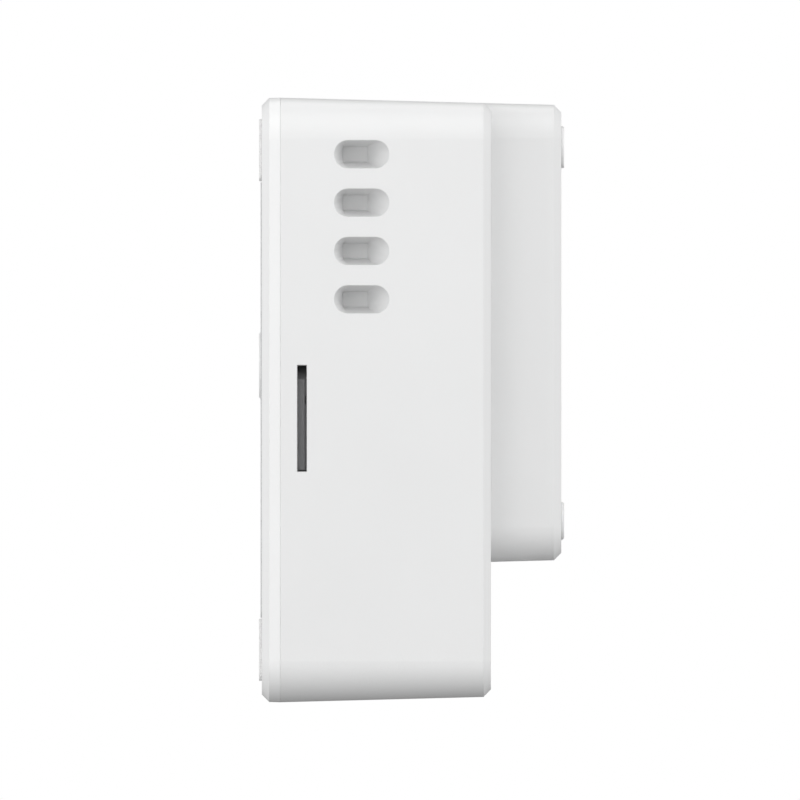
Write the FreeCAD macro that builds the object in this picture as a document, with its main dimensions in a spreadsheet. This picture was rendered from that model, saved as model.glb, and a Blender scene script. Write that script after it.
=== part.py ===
"""Video doorbell, 140 mm tall, as an assembly of separate parts.

Every body is drawn in a frame of its own that lies on its back: x is right, y is up and z is the
distance out from the wall. The body's placement stands it up, so that in the finished part +Z is
up, the wall is the plane Y = 0 and the doorbell's face looks towards -Y.
"""

import FreeCAD
import Part

import math
import os
import re

import Sketcher
from FreeCAD import Placement, Rotation, Vector

# ------------------------------------------------------------------ driving dimensions, mm
SIZES = {
    # outer shape, measured at the parting line between the rear plate and the housing
    "body_height": 140.0,
    "body_width": 72.0,
    "corner_radius": 9.5,
    "draft_angle": 1.5,
    "edge_chamfer": 1.7,
    # layers, counted from the wall
    "pad_thick": 0.65,
    "plate_thick": 4.28,
    "shell_depth": 48.77,
    "block_depth": 16.3,
    # raised block on the front
    "block_width": 44.0,
    "block_bottom": -37.5,
    "block_radius": 8.1,
    "block_root": 3.0,
    # walls and general clearances
    "thin_wall": 2.2,
    "thick_wall": 3.4,
    "fit_gap": 0.15,
    "snug_gap": 0.1,
    "loose_gap": 0.3,
    "root": 0.5,
    "over_cut": 1.0,
    "board_thick": 1.6,
    # rear plate
    "plate_floor": 2.4,
    "plate_rim": 3.6,
    "wall_screw_x": 20.0,
    "wall_screw_up": 36.0,
    "wall_screw_radius": 2.25,
    "wall_screw_head": 4.2,
    "wall_sink_share": 0.6,
    "hook_x": 17.0,
    "hook_width": 6.0,
    "hook_up": 58.0,
    "hook_thick": 2.5,
    "hook_reach": 9.8,
    "barb_thick": 1.6,
    "barb_rise": 2.0,
    "hook_gap": 0.4,
    "hook_drop": 3.0,
    "foot_width": 12.0,
    "foot_low": -66.3,
    "foot_height": 5.0,
    "foot_reach": 10.5,
    "foot_gap": 0.6,
    "foot_drop": 2.0,
    "chamber_wall": 2.4,
    "security_depth": 7.9,
    "security_low": -69.6,
    "security_radius": 1.5,
    "security_length": 6.5,
    "security_head": 2.6,
    "security_head_thick": 1.2,
    "security_socket": 0.9,
    "security_socket_low": -70.0,
    "security_sink": 2.6,
    # what lies between the plate and the wall
    "pad_height": 14.5,
    "pad_width": 52.0,
    "pad_up": 57.85,
    "pad_corner": 2.0,
    "sheet_thick": 0.29,
    "sheet_height": 100.8,
    "grommet_up": 8.0,
    "grommet_radius": 7.7,
    "grommet_bevel": 0.37,
    "grommet_neck": 5.4,
    "grommet_flange": 6.8,
    "grommet_flange_thick": 0.9,
    "membrane_depth": 2.0,
    "membrane_thick": 0.6,
    "cable_radius": 2.4,
    # inner cover that closes the housing
    "cover_depth": 5.2,
    "cover_thick": 2.2,
    "seal_thick": 0.8,
    "seal_width": 0.9,
    "seal_inset": 0.25,
    "seal_detour": 8.1,
    "boss_x": 26.5,
    "boss_up": 60.0,
    "boss_radius": 3.5,
    "cover_screw_radius": 1.4,
    "cover_screw_head": 2.7,
    "cover_head_thick": 1.4,
    "cover_screw_length": 11.0,
    "terminal_up": 26.0,
    "terminal_width": 20.0,
    "terminal_height": 9.0,
    "terminal_back": 4.7,
    "terminal_pitch": 10.0,
    "terminal_screw_radius": 2.5,
    "terminal_head_thick": 1.1,
    "terminal_shank": 1.5,
    "terminal_shank_length": 3.8,
    "terminal_bore_deep": 4.0,
    "terminal_divide": 1.2,
    "terminal_divide_deep": 3.0,
    # side scoops
    "scoop_length": 12.74,
    "scoop_height": 6.47,
    "scoop_depth_centre": 23.75,
    "scoop_up": 23.3,
    "scoop_pitch": 11.2,
    "scoop_rim": 33.4,
    "scoop_bottom": 27.8,
    "scoop_floor_length": 5.8,
    "scoop_floor_height": 3.5,
    "scoop_floor_centre": 22.25,
    "scoop_backing": 26.0,
    "scoop_margin": 2.0,
    # memory card and its slot
    "card_length": 32.0,
    "card_height": 24.0,
    "card_thick": 2.1,
    "card_depth": 9.95,
    "card_up": -4.25,
    "card_outer_end": 33.0,
    "card_corner": 4.0,
    "card_outer_corner": 3.0,
    "card_bevel": 0.5,
    "card_groove_place": 2.2,
    "card_groove_wide": 1.2,
    "card_groove_long": 14.0,
    "card_groove_deep": 0.3,
    "slot_height": 24.7,
    "slot_thick": 2.2,
    "notch_height": 1.85,
    "notch_deep": 1.2,
    "notch_wide": 0.35,
    "socket_length": 30.0,
    "socket_wall": 1.4,
    "socket_inset": 3.6,
    "socket_back_gap": 0.9,
    "socket_window_place": 12.0,
    "socket_window_width": 9.0,
    "socket_window_height": 16.0,
    # main board
    "main_depth": 12.0,
    "main_width": 56.0,
    "main_low": -50.0,
    "main_height": 102.0,
    "main_corner": 2.0,
    "post_x": 24.6,
    "post_low": -45.0,
    "post_high": 47.0,
    "post_radius": 2.9,
    "small_screw_radius": 1.0,
    "small_head_radius": 1.7,
    "module_post_radius": 2.0,
    "small_head_thick": 1.2,
    "small_screw_length": 5.5,
    "small_hole_radius": 1.1,
    "small_hole_deep": 5.0,
    "drive_slot_long": 2.2,
    "drive_slot_wide": 0.5,
    "can_up": 19.0,
    "big_can_x": -8.0,
    "big_can_width": 24.0,
    "big_can_height": 20.0,
    "big_can_thick": 2.2,
    "small_can_x": 13.0,
    "small_can_width": 14.0,
    "small_can_height": 16.0,
    "small_can_thick": 1.8,
    "can_edge": 0.6,
    "chip_size": 7.0,
    "chip_thick": 1.2,
    "chip_x": 14.0,
    "coil_size": 5.0,
    "coil_thick": 1.8,
    "coil_up": 42.0,
    "side_plug_x": 25.4,
    "side_plug_up": 4.0,
    "side_plug_width": 4.6,
    "side_plug_height": 9.0,
    "plug_thick": 1.5,
    "top_plug_up": 40.0,
    "top_plug_width": 11.0,
    "top_plug_height": 4.0,
    "antenna_up": 48.5,
    "antenna_length": 34.0,
    "antenna_height": 5.0,
    "antenna_thick": 0.5,
    "antenna_lift": 2.6,
    "antenna_leg": 3.0,
    "antenna_feed_x": -9.0,
    "ribbon_thick": 0.2,
    "ribbon_width": 8.0,
    "camera_ribbon_width": 9.0,
    "camera_ribbon_low": 38.5,
    "camera_ribbon_top": 53.5,
    "button_ribbon_x": 25.3,
    "button_ribbon_low": -48.0,
    "button_ribbon_step": 4.0,
    "button_ribbon_inner_x": 20.9,
    "sensor_ribbon_x": -25.5,
    "sensor_ribbon_low": -20.0,
    "sensor_ribbon_inner_x": -10.2,
    "sensor_ribbon_front": 46.8,
    # battery
    "cell_radius": 9.25,
    "cell_length": 65.2,
    "cell_low": -64.8,
    "cell_x": 10.0,
    "battery_depth": 27.0,
    "tray_width": 40.4,
    "tray_thick": 21.2,
    "tray_low": -66.0,
    "tray_top": 3.5,
    "tray_corner": 2.5,
    "bay_gap": 0.15,
    "cell_cap_radius": 3.0,
    "cell_cap_thick": 0.2,
    "sleeve_gap": 0.4,
    "sleeve_wall": 1.6,
    "sleeve_low": -65.6,
    "sleeve_ear_width": 6.0,
    "sleeve_ear_height": 7.0,
    "door_gap": 0.25,
    "door_margin": 0.7,
    "door_plug_low": -67.6,
    "plug_inset": 1.0,
    "door_grip_low": -70.5,
    "door_grip_long": 12.0,
    "door_grip_deep": 1.9,
    "door_grip_wide": 1.6,
    "door_grip_place": 6.0,
    "door_seal_low": 0.75,
    "door_seal_height": 0.65,
    "contact_pitch": 6.0,
    "contact_width": 3.0,
    "contact_length": 4.0,
    "contact_thick": 0.3,
    "contact_block_lift": 0.9,
    "contact_block_width": 26.0,
    "contact_block_thick": 6.0,
    "contact_block_height": 5.0,
    "pin_radius": 0.75,
    # bell button
    "bell_up": -52.0,
    "bell_radius": 10.2,
    "bell_recess": 0.3,
    "bell_top_thick": 1.8,
    "bell_skirt_wall": 1.5,
    "bell_flange": 11.2,
    "bell_flange_thick": 1.3,
    "bell_dish_radius": 110.0,
    "bell_dish_sag": 0.35,
    "bell_edge": 0.4,
    "stem_radius": 1.8,
    "ring_inner": 10.35,
    "ring_outer": 12.2,
    "ring_flange": 13.2,
    "ring_back": 49.1,
    "bell_board_depth": 41.2,
    "bell_board_width": 43.0,
    "bell_board_height": 25.0,
    "bell_post_x": 18.6,
    "switch_size": 6.2,
    "switch_height": 3.2,
    "plunger_radius": 1.6,
    "plunger_top": 46.9,
    "plunger_length": 2.2,
    "switch_floor": 0.8,
    "spring_radius": 5.9,
    "spring_wire": 0.35,
    "spring_turns": 5.5,
    "ring_led_radius": 11.2,
    "ring_led_width": 2.0,
    "ring_led_height": 1.4,
    "ring_led_thick": 0.9,
    # camera
    "camera_up": 58.55,
    "bezel_length": 30.0,
    "bezel_height": 9.7,
    "bezel_flange": 0.8,
    "bezel_edge": 0.3,
    "window_length": 26.2,
    "window_height": 6.7,
    "window_depth": 69.0,
    "window_thick": 1.4,
    "eye_length": 24.6,
    "eye_height": 5.8,
    "led_board_thick": 0.8,
    "led_board_length": 28.0,
    "led_board_height": 9.4,
    "led_radius": 1.5,
    "led_inner_x": 7.2,
    "led_outer_x": 10.8,
    "led_body": 1.0,
    "led_tip": 0.8,
    "light_sensor_width": 2.0,
    "light_sensor_height": 2.4,
    "light_sensor_thick": 0.9,
    "nose_radius": 2.7,
    "nose_tip": 68.7,
    "barrel_radius": 6.0,
    "barrel_back": 53.2,
    "barrel_front": 61.0,
    "glass_radius": 2.1,
    "front_glass_thick": 1.4,
    "front_glass_inset": 0.2,
    "middle_glass_thick": 2.2,
    "rear_glass_thick": 1.6,
    "rear_glass_inset": 0.6,
    "mount_back": 50.0,
    "mount_front": 57.5,
    "mount_half": 10.0,
    "mount_height": 13.2,
    "mount_wall": 1.0,
    "mount_eye": 3.0,
    "ear_height": 5.0,
    "ear_margin": 1.5,
    "chamber_front": 52.6,
    "filter_travel": 4.5,
    "filter_depth": 51.6,
    "filter_thick": 0.6,
    "filter_height": 6.8,
    "filter_margin": 4.0,
    "filter_window_width": 3.8,
    "filter_window_height": 5.0,
    "filter_glass_thick": 0.4,
    "chamber_height": 8.0,
    "image_sensor_width": 6.4,
    "image_sensor_height": 5.2,
    "image_sensor_thick": 1.1,
    "camera_board_width": 23.0,
    "camera_post_x": 17.9,
    "ear_thick": 1.5,
    # motion sensor and microphone
    "motion_up": -28.0,
    "motion_length": 26.0,
    "motion_height": 8.75,
    "motion_wall": 1.25,
    "motion_edge": 0.6,
    "sensor_board_depth": 56.4,
    "sensor_board_low": -34.4,
    "sensor_board_height": 26.4,
    "sensor_board_width": 36.0,
    "sensor_board_corner": 4.0,
    "sensor_post_x": 15.4,
    "sensor_post_up": -12.5,
    "can_radius": 4.6,
    "can_height": 4.2,
    "can_rim": 0.4,
    "can_rim_thick": 0.5,
    "can_eye_width": 4.0,
    "can_eye_height": 3.0,
    "can_eye_deep": 0.3,
    "microphone_up": -13.0,
    "microphone_width": 3.8,
    "microphone_height": 3.0,
    "microphone_thick": 1.1,
    "microphone_seal_radius": 2.4,
    # speaker
    "speaker_up": 18.0,
    "speaker_radius": 16.0,
    "cone_radius": 13.4,
    "speaker_back": 60.0,
    "speaker_vent": 4.0,
    "basket_floor": 1.0,
    "cone_gap": 0.6,
    "cone_back": 3.2,
    "cone_back_radius": 4.6,
    "cone_thick": 0.7,
    "coil_radius": 3.4,
    "coil_back": 0.6,
    "voice_coil_length": 3.4,
    "magnet_radius": 9.0,
    "magnet_back": 54.5,
    "gasket_thick": 0.8,
    "mesh_radius": 12.6,
    "mesh_thick": 0.4,
    "grille_hole": 0.8,
    "grille_ring": 3.2,
    "box_width": 37.0,
    "box_wall": 1.5,
    "box_back": 44.0,
}

# Sizes that follow from the driving ones.
WORKED_OUT = {
    "parting": "pad_thick + plate_thick",
    "shoulder": "parting + shell_depth",
    "face": "shoulder + block_depth",
    "slope": "tan(draft_angle)",
    "shelf": "cover_depth + cover_thick + seal_thick",
    "cover_front": "cover_depth + cover_thick",
    "shoulder_inside": "shoulder - thick_wall",
    "face_inside": "face - thin_wall",
    "block_top": "body_height / 2 - shell_depth * slope",
    "main_front": "main_depth + board_thick",
    "plate_recess": "pad_thick + plate_floor",
    "sleeve_inner_width": "tray_width + 2 * sleeve_gap",
    "sleeve_inner_thick": "tray_thick + 2 * sleeve_gap",
    "sleeve_outer_width": "sleeve_inner_width + 2 * sleeve_wall",
    "sleeve_outer_thick": "sleeve_inner_thick + 2 * sleeve_wall",
    "sleeve_roof": "tray_top + contact_thick + sleeve_gap",
    "bell_face": "shoulder - bell_recess",
    "bell_inner": "bell_face - bell_top_thick",
    "bell_board_front": "bell_board_depth + board_thick",
    "bezel_back": "face_inside - bezel_flange - fit_gap",
    "sensor_board_front": "sensor_board_depth + board_thick",
    "gasket_back": "face_inside - gasket_thick",
    "microphone_front": "sensor_board_front + microphone_thick",
    "tray_back": "battery_depth - tray_thick / 2",
    "door_back": "tray_back - door_margin",
    "board_plug_front": "main_front + plug_thick",
}

document = FreeCAD.newDocument("video_doorbell")
sheet = document.addObject("Spreadsheet::Sheet", "sizes")
for row, (alias, value) in enumerate(SIZES.items(), start=1):
    sheet.set(f"A{row}", alias.replace("_", " "))
    sheet.set(f"B{row}", str(value))
    sheet.setAlias(f"B{row}", alias)
document.recompute()


# ------------------------------------------------------------------ small helpers
def formula(text):
    """The expression for a size: each name becomes its cell, each worked-out size its formula."""

    def spell(match):
        word = match.group(0)
        if word in WORKED_OUT:
            return "(" + formula(WORKED_OUT[word]) + ")"
        return "sizes." + word if word in SIZES else word

    return re.sub(r"[a-z][a-z_0-9]*", spell, str(text))


def bind(item, **properties):
    """Tie properties of an object to formulas on the sheet."""
    for name, text in properties.items():
        item.setExpression(name, formula(text))


def move(item, x, up, out):
    """Tie an object's place in its body to formulas."""
    for axis, text in zip("xyz", (x, up, out)):
        item.setExpression("Placement.Base." + axis, formula(text))


def new_body(name):
    """An empty body that stands upright: its z axis points away from the wall."""
    body = document.addObject("PartDesign::Body", name)
    body.Label = name
    body.Placement = Placement(Vector(0, 0, 0), Rotation(Vector(1, 0, 0), 90))
    return body


def feature(body, kind, cut):
    """A primitive that adds to the body or cuts from it."""
    action = "Subtractive" if cut else "Additive"
    return body.newObject("PartDesign::" + action + kind, body.Name + "_" + kind.lower())


def box(body, corner, size, cut=False):
    """A block from its low corner (x, up, out) with its size along the same axes."""
    item = feature(body, "Box", cut)
    bind(item, Length=size[0], Width=size[1], Height=size[2])
    move(item, *corner)
    return item


def centred_box(body, centre, size, cut=False):
    """A block centred on x and up, whose back face is at the third place."""
    x, up, out = centre
    return box(body, (f"{x} - ({size[0]}) / 2", f"{up} - ({size[1]}) / 2", out), size, cut)


def rod(body, centre, radius, length, cut=False):
    """A cylinder that points away from the wall."""
    item = feature(body, "Cylinder", cut)
    bind(item, Radius=radius, Height=length)
    move(item, *centre)
    return item


def upright_rod(body, centre, radius, length, cut=False):
    """A cylinder that points up."""
    item = rod(body, centre, radius, length, cut)
    item.Placement = Placement(item.Placement.Base, Rotation(Vector(1, 0, 0), -90))
    return item


def cone(body, centre, back_radius, front_radius, length, cut=False):
    """A cone that points away from the wall."""
    item = feature(body, "Cone", cut)
    bind(item, Radius1=back_radius, Radius2=front_radius, Height=length)
    move(item, *centre)
    return item


def origin_plane(body, role):
    """One of a body's own origin planes."""
    return next(item for item in body.Origin.OriginFeatures if item.Role == role)


def new_sketch(body, role, offset):
    """An empty sketch on an origin plane, moved along the plane's normal."""
    sketch = body.newObject("Sketcher::SketchObject", body.Name + "_sketch")
    sketch.AttachmentSupport = (origin_plane(body, role), "")
    sketch.MapMode = "FlatFace"
    sketch.setExpression("AttachmentOffset.Base.z", formula(offset))
    return sketch


def constrain(sketch, kind, *details, size=None, drawn=None):
    """Add one constraint. One with a size is tied to a formula and starts from the drawn size."""
    if size is None:
        sketch.addConstraint(Sketcher.Constraint(kind, *details))
        return
    index = sketch.addConstraint(Sketcher.Constraint(kind, *details, drawn))
    sketch.setExpression(f"Constraints[{index}]", formula(size))


def rounded_rectangle(body, centre, size, radius, offset):
    """A sketch of a rounded rectangle, drawn across the wall axis at an offset from the wall."""
    sketch = new_sketch(body, "XY_Plane", offset)
    corners = [Vector(-9, -9, 0), Vector(9, -9, 0), Vector(9, 9, 0), Vector(-9, 9, 0)]
    sides = [Vector(1, 0, 0), Vector(0, 1, 0), Vector(-1, 0, 0), Vector(0, -1, 0)]
    for place, corner in enumerate(corners):
        along = sides[place]
        following = corners[(place + 1) % 4]
        sketch.addGeometry(Part.LineSegment(corner + along, following - along), False)
    for place, corner in enumerate(corners):
        middle = corner + sides[place] - sides[place - 1]
        circle = Part.Circle(middle, Vector(0, 0, 1), 1.0)
        start = (place + 2) * 1.5707963267948966
        sketch.addGeometry(Part.ArcOfCircle(circle, start, start + 1.5707963267948966), False)
    for line in range(4):
        arc = 4 + line
        previous = (line - 1) % 4
        constrain(sketch, "Tangent", previous, 2, arc, 1)
        constrain(sketch, "Tangent", arc, 2, line, 1)
        constrain(sketch, "Horizontal" if line % 2 == 0 else "Vertical", line)
    for arc in range(5, 8):
        constrain(sketch, "Equal", 4, arc)
    x, up = centre
    constrain(sketch, "Radius", 4, size=radius, drawn=1.0)
    constrain(sketch, "DistanceX", 3, 1, 1, 1, size=size[0], drawn=18.0)
    constrain(sketch, "DistanceX", -1, 1, 1, 1, size=f"{x} + ({size[0]}) / 2", drawn=9.0)
    constrain(sketch, "DistanceY", 0, 1, 2, 1, size=size[1], drawn=18.0)
    constrain(sketch, "DistanceY", -1, 1, 2, 1, size=f"{up} + ({size[1]}) / 2", drawn=9.0)
    return sketch


def slab(body, centre, size, radius, back, thick, taper="0", cut=False):
    """A rounded slab that starts at a distance from the wall and grows outwards."""
    kind = "PartDesign::Pocket" if cut else "PartDesign::Pad"
    item = body.newObject(kind, body.Name + ("_cut" if cut else "_slab"))
    item.Profile = rounded_rectangle(body, centre, size, radius, back)
    item.Reversed = cut
    bind(item, Length=thick, TaperAngle=taper)
    return item


def pill(body, centre, size, back, thick, cut=False):
    """A slab with fully rounded ends."""
    return slab(body, centre, size, f"({size[1]}) / 2 - 0.05", back, thick, cut=cut)


def edges_at(shape, test):
    """Names of the edges whose every sampled point passes a test."""
    names = []
    for number, edge in enumerate(shape.Edges, start=1):
        if all(test(point) for point in edge.discretize(5)):
            names.append(f"Edge{number}")
    return names


def chamfer(body, size, test):
    """Chamfer those edges of a body's last feature that pass a test."""
    document.recompute()
    base = body.Tip
    item = body.newObject("PartDesign::Chamfer", body.Name + "_chamfer")
    item.Base = (base, edges_at(base.Shape, test))
    bind(item, Size=size)
    return item


def fillet(body, size, test):
    """Round those edges of a body's last feature that pass a test."""
    document.recompute()
    base = body.Tip
    item = body.newObject("PartDesign::Fillet", body.Name + "_fillet")
    item.Base = (base, edges_at(base.Shape, test))
    bind(item, Radius=size)
    return item


def drilled_ring(body, centre, ring_radius, hole_radius, back, long, count):
    """Round holes spread evenly on a circle, drilled outwards from a distance from the wall."""
    sketch = new_sketch(body, "XY_Plane", back)
    sketch.setExpression("AttachmentOffset.Base.x", formula(centre[0]))
    sketch.setExpression("AttachmentOffset.Base.y", formula(centre[1]))
    sketch.addGeometry(Part.Circle(Vector(3, 0, 0), Vector(0, 0, 1), 1.0), False)
    constrain(sketch, "PointOnObject", 0, 3, -1)
    constrain(sketch, "DistanceX", -1, 1, 0, 3, size=ring_radius, drawn=3.0)
    constrain(sketch, "Radius", 0, size=hole_radius, drawn=1.0)
    hole = body.newObject("PartDesign::Pocket", body.Name + "_hole")
    hole.Profile = sketch
    hole.Reversed = True
    bind(hole, Length=long)
    pattern = body.newObject("PartDesign::PolarPattern", body.Name + "_ring")
    pattern.Originals = [hole]
    pattern.Axis = (sketch, ["N_Axis"])
    pattern.Angle = 360
    pattern.Occurrences = count
    body.Tip = pattern


def screws(name, places, shank_radius, length, head_radius, head_thick, flat=False):
    """One node of like screws. Each place is (x, up, out) under the head, pointing outwards."""
    body = new_body(name)
    slot = ("drive_slot_long", "drive_slot_wide", "drive_slot_wide")
    for x, up, out in places:
        rod(body, (x, up, out), shank_radius, length)
        if flat:
            cone(body, (x, up, out), head_radius, shank_radius, head_thick)
            centred_box(body, (x, up, out), slot, cut=True)
        else:
            rod(body, (x, up, f"{out} - {head_thick}"), head_radius, head_thick)
            centred_box(body, (x, up, f"{out} - {head_thick}"), slot, cut=True)
    return body


def backwards_screws(name, places, shank_radius, length, head_radius, head_thick):
    """One node of like screws whose heads look away from the wall, placed under the head."""
    body = new_body(name)
    slot = ("drive_slot_long", "drive_slot_wide", "drive_slot_wide")
    for x, up, out in places:
        rod(body, (x, up, f"{out} - {length}"), shank_radius, length)
        rod(body, (x, up, out), head_radius, head_thick)
        centred_box(body, (x, up, f"{out} + {head_thick} - drive_slot_wide"), slot, cut=True)
    return body


# ------------------------------------------------------------------ rear plate and wall side
def rear_plate():
    """The shallow tray that is fixed to the wall, with its hooks and its foot."""
    body = new_body("rear_plate")
    outline = rounded_rectangle(
        body, ("0", "0"), ("body_width", "body_height"), "corner_radius", "parting"
    )
    tray = body.newObject("PartDesign::Pad", "plate_tray")
    tray.Profile = outline
    tray.Reversed = True
    bind(tray, Length="plate_thick", TaperAngle="-draft_angle")
    back = sheet.get("pad_thick")
    chamfer(body, "edge_chamfer", lambda point: abs(point.z - back) < 0.001)
    slab(
        body,
        ("0", "0"),
        ("body_width - 2 * plate_rim", "body_height - 2 * plate_rim"),
        "corner_radius - plate_rim",
        "plate_recess",
        "plate_thick",
        cut=True,
    )
    rod(body, ("0", "grommet_up", "0"), "grommet_neck + snug_gap", "parting", cut=True)
    for x in ("-wall_screw_x", "wall_screw_x"):
        for up in ("-wall_screw_up", "wall_screw_up"):
            rod(body, (x, up, "0"), "wall_screw_radius", "parting", cut=True)
            sink = "((wall_screw_head - wall_screw_radius) * wall_sink_share)"
            centre = (x, up, f"plate_recess - {sink}")
            cone(body, centre, "wall_screw_radius", "wall_screw_head", sink, cut=True)
    for x in ("-hook_x", "hook_x"):
        low = f"{x} - hook_width / 2"
        reach = "hook_reach - plate_recess + root"
        box(body, (low, "hook_up", "plate_recess - root"), ("hook_width", "hook_thick", reach))
        barb = (low, "hook_up + hook_thick - snug_gap", "hook_reach - barb_thick")
        box(body, barb, ("hook_width", "barb_rise + snug_gap", "barb_thick"))
    foot = ("-foot_width / 2", "foot_low", "plate_recess - root")
    box(body, foot, ("foot_width", "foot_height", "foot_reach - plate_recess + root"))
    hole = ("0", "foot_low - over_cut", "security_depth")
    upright_rod(body, hole, "security_radius + snug_gap", "foot_height + 2 * over_cut", cut=True)
    return body


def wall_pads():
    """Two adhesive pads, the only faces that touch the wall."""
    body = new_body("wall_pads")
    for up in ("-pad_up", "pad_up"):
        slab(body, ("0", up), ("pad_width", "pad_height"), "pad_corner", "0", "pad_thick")
    return body


def wall_gasket():
    """The thin foam sheet between the pads, open round the grommet and the wall screws."""
    body = new_body("wall_gasket")
    back = "pad_thick - sheet_thick"
    slab(body, ("0", "0"), ("pad_width", "sheet_height"), "pad_corner", back, "sheet_thick")
    rod(body, ("0", "grommet_up", "0"), "grommet_radius + hook_gap", "pad_thick", cut=True)
    for x in ("-wall_screw_x", "wall_screw_x"):
        for up in ("-wall_screw_up", "wall_screw_up"):
            rod(body, (x, up, "0"), "wall_screw_head", "pad_thick", cut=True)
    return body


def cable_grommet():
    """The soft round boss that seals the bell wires' way through the plate."""
    body = new_body("cable_grommet")
    centre = ("0", "grommet_up")
    bevelled = (*centre, "0")
    cone(body, bevelled, "grommet_radius - grommet_bevel", "grommet_radius", "grommet_bevel")
    rod(body, (*centre, "grommet_bevel"), "grommet_radius", "pad_thick - grommet_bevel")
    rod(body, (*centre, "pad_thick"), "grommet_neck", "plate_floor")
    rod(body, (*centre, "plate_recess"), "grommet_flange", "grommet_flange_thick")
    rod(body, (*centre, "0"), "cable_radius", "membrane_depth", cut=True)
    behind = "membrane_depth + membrane_thick"
    rod(body, (*centre, behind), "cable_radius", "plate_recess", cut=True)
    return body


def terminal_block():
    """The block for the two bell wires, which stands in a window of the inner cover."""
    body = new_body("terminal_block")
    size = ("terminal_width", "terminal_height", "main_depth - terminal_back")
    centred_box(body, ("0", "terminal_up", "terminal_back"), size)
    divide = ("terminal_divide", "terminal_height", "terminal_divide_deep")
    centred_box(body, ("0", "terminal_up", "terminal_back"), divide, cut=True)
    for x in ("-terminal_pitch / 2", "terminal_pitch / 2"):
        bore = (x, "terminal_up", "terminal_back")
        rod(body, bore, "terminal_shank + snug_gap", "terminal_bore_deep", cut=True)
    return body


def terminal_screws():
    """The two brass wire screws."""
    xs = ("-terminal_pitch / 2", "terminal_pitch / 2")
    places = [(x, "terminal_up", "terminal_back") for x in xs]
    shank = ("terminal_shank", "terminal_shank_length")
    return screws("terminal_screws", places, *shank, "terminal_screw_radius", "terminal_head_thick")


def inner_cover():
    """The plate that closes the housing's back and carries the main board on four posts."""
    body = new_body("inner_cover")
    inset = "2 * (thin_wall + loose_gap)"
    size = (f"body_width - {inset}", f"body_height - {inset}")
    radius = "corner_radius - thin_wall - loose_gap"
    slab(body, ("0", "0"), size, radius, "cover_depth", "cover_thick")
    for x in ("-post_x", "post_x"):
        for up in ("post_low", "post_high"):
            rod(body, (x, up, "cover_front"), "post_radius", "main_depth - cover_front")
            rod(body, (x, up, "cover_front - over_cut"), "small_hole_radius", "main_depth", cut=True)
    for x in ("-boss_x", "boss_x"):
        for up in ("-boss_up", "boss_up"):
            narrow = "cover_screw_radius + snug_gap"
            rod(body, (x, up, "cover_depth"), narrow, "cover_thick", cut=True)
            rims = ("cover_screw_head + snug_gap", narrow)
            cone(body, (x, up, "cover_depth"), *rims, "cover_head_thick", cut=True)
    for x in ("-hook_x", "hook_x"):
        low = (f"{x} - hook_width / 2 - hook_gap", "hook_up - hook_drop", "cover_depth")
        size = ("hook_width + 2 * hook_gap", "hook_thick + hook_drop + hook_gap / 2", "cover_thick")
        box(body, low, size, cut=True)
    foot = ("-foot_width / 2 - foot_gap", "foot_low - foot_drop", "cover_depth")
    size = ("foot_width + 2 * foot_gap", "foot_height + foot_drop + foot_gap", "cover_thick")
    box(body, foot, size, cut=True)
    size = ("terminal_width + 2 * loose_gap", "terminal_height + 2 * loose_gap", "cover_thick")
    centred_box(body, ("0", "terminal_up", "cover_depth"), size, cut=True)
    return body


def cover_screws():
    """Four flat-head screws that hold the inner cover to the housing's bosses."""
    places = [(x, up, "cover_depth") for x in ("-boss_x", "boss_x") for up in ("-boss_up", "boss_up")]
    sizes = ("cover_screw_radius", "cover_screw_length", "cover_screw_head", "cover_head_thick")
    return screws("cover_screws", places, *sizes, flat=True)


def housing_seal():
    """The rubber seal between the inner cover and the housing's shelf."""
    body = new_body("housing_seal")
    outer = "thin_wall + seal_inset"
    inner = f"{outer} + seal_width"
    for inset, cut in ((outer, False), (inner, True)):
        size = (f"body_width - 2 * ({inset})", f"body_height - 2 * ({inset})")
        radius = f"corner_radius - ({inset})"
        slab(body, ("0", "0"), size, radius, "cover_front", "seal_thick", cut=cut)
    top = "(foot_low + foot_height + 2 * foot_gap)"
    detour = (("seal_detour", "foot_low - root", f"{top} + seal_width", False),)
    detour += (("(seal_detour - seal_width)", "-body_height / 2 + over_cut", top, True),)
    for half, low, high, cut in detour:
        corner = (f"-{half}", low, "cover_front")
        box(body, corner, (f"2 * {half}", f"{high} - ({low})", "seal_thick"), cut)
    return body


def security_screw():
    """The screw from below that locks the housing to the plate's foot."""
    body = new_body("security_screw")
    low = ("0", "security_low", "security_depth")
    upright_rod(body, low, "security_radius", "security_length")
    upright_rod(body, low, "security_head", "security_head_thick")
    socket = ("0", "security_socket_low", "security_depth")
    upright_rod(body, socket, "security_socket", "security_head_thick", cut=True)
    return body


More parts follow.
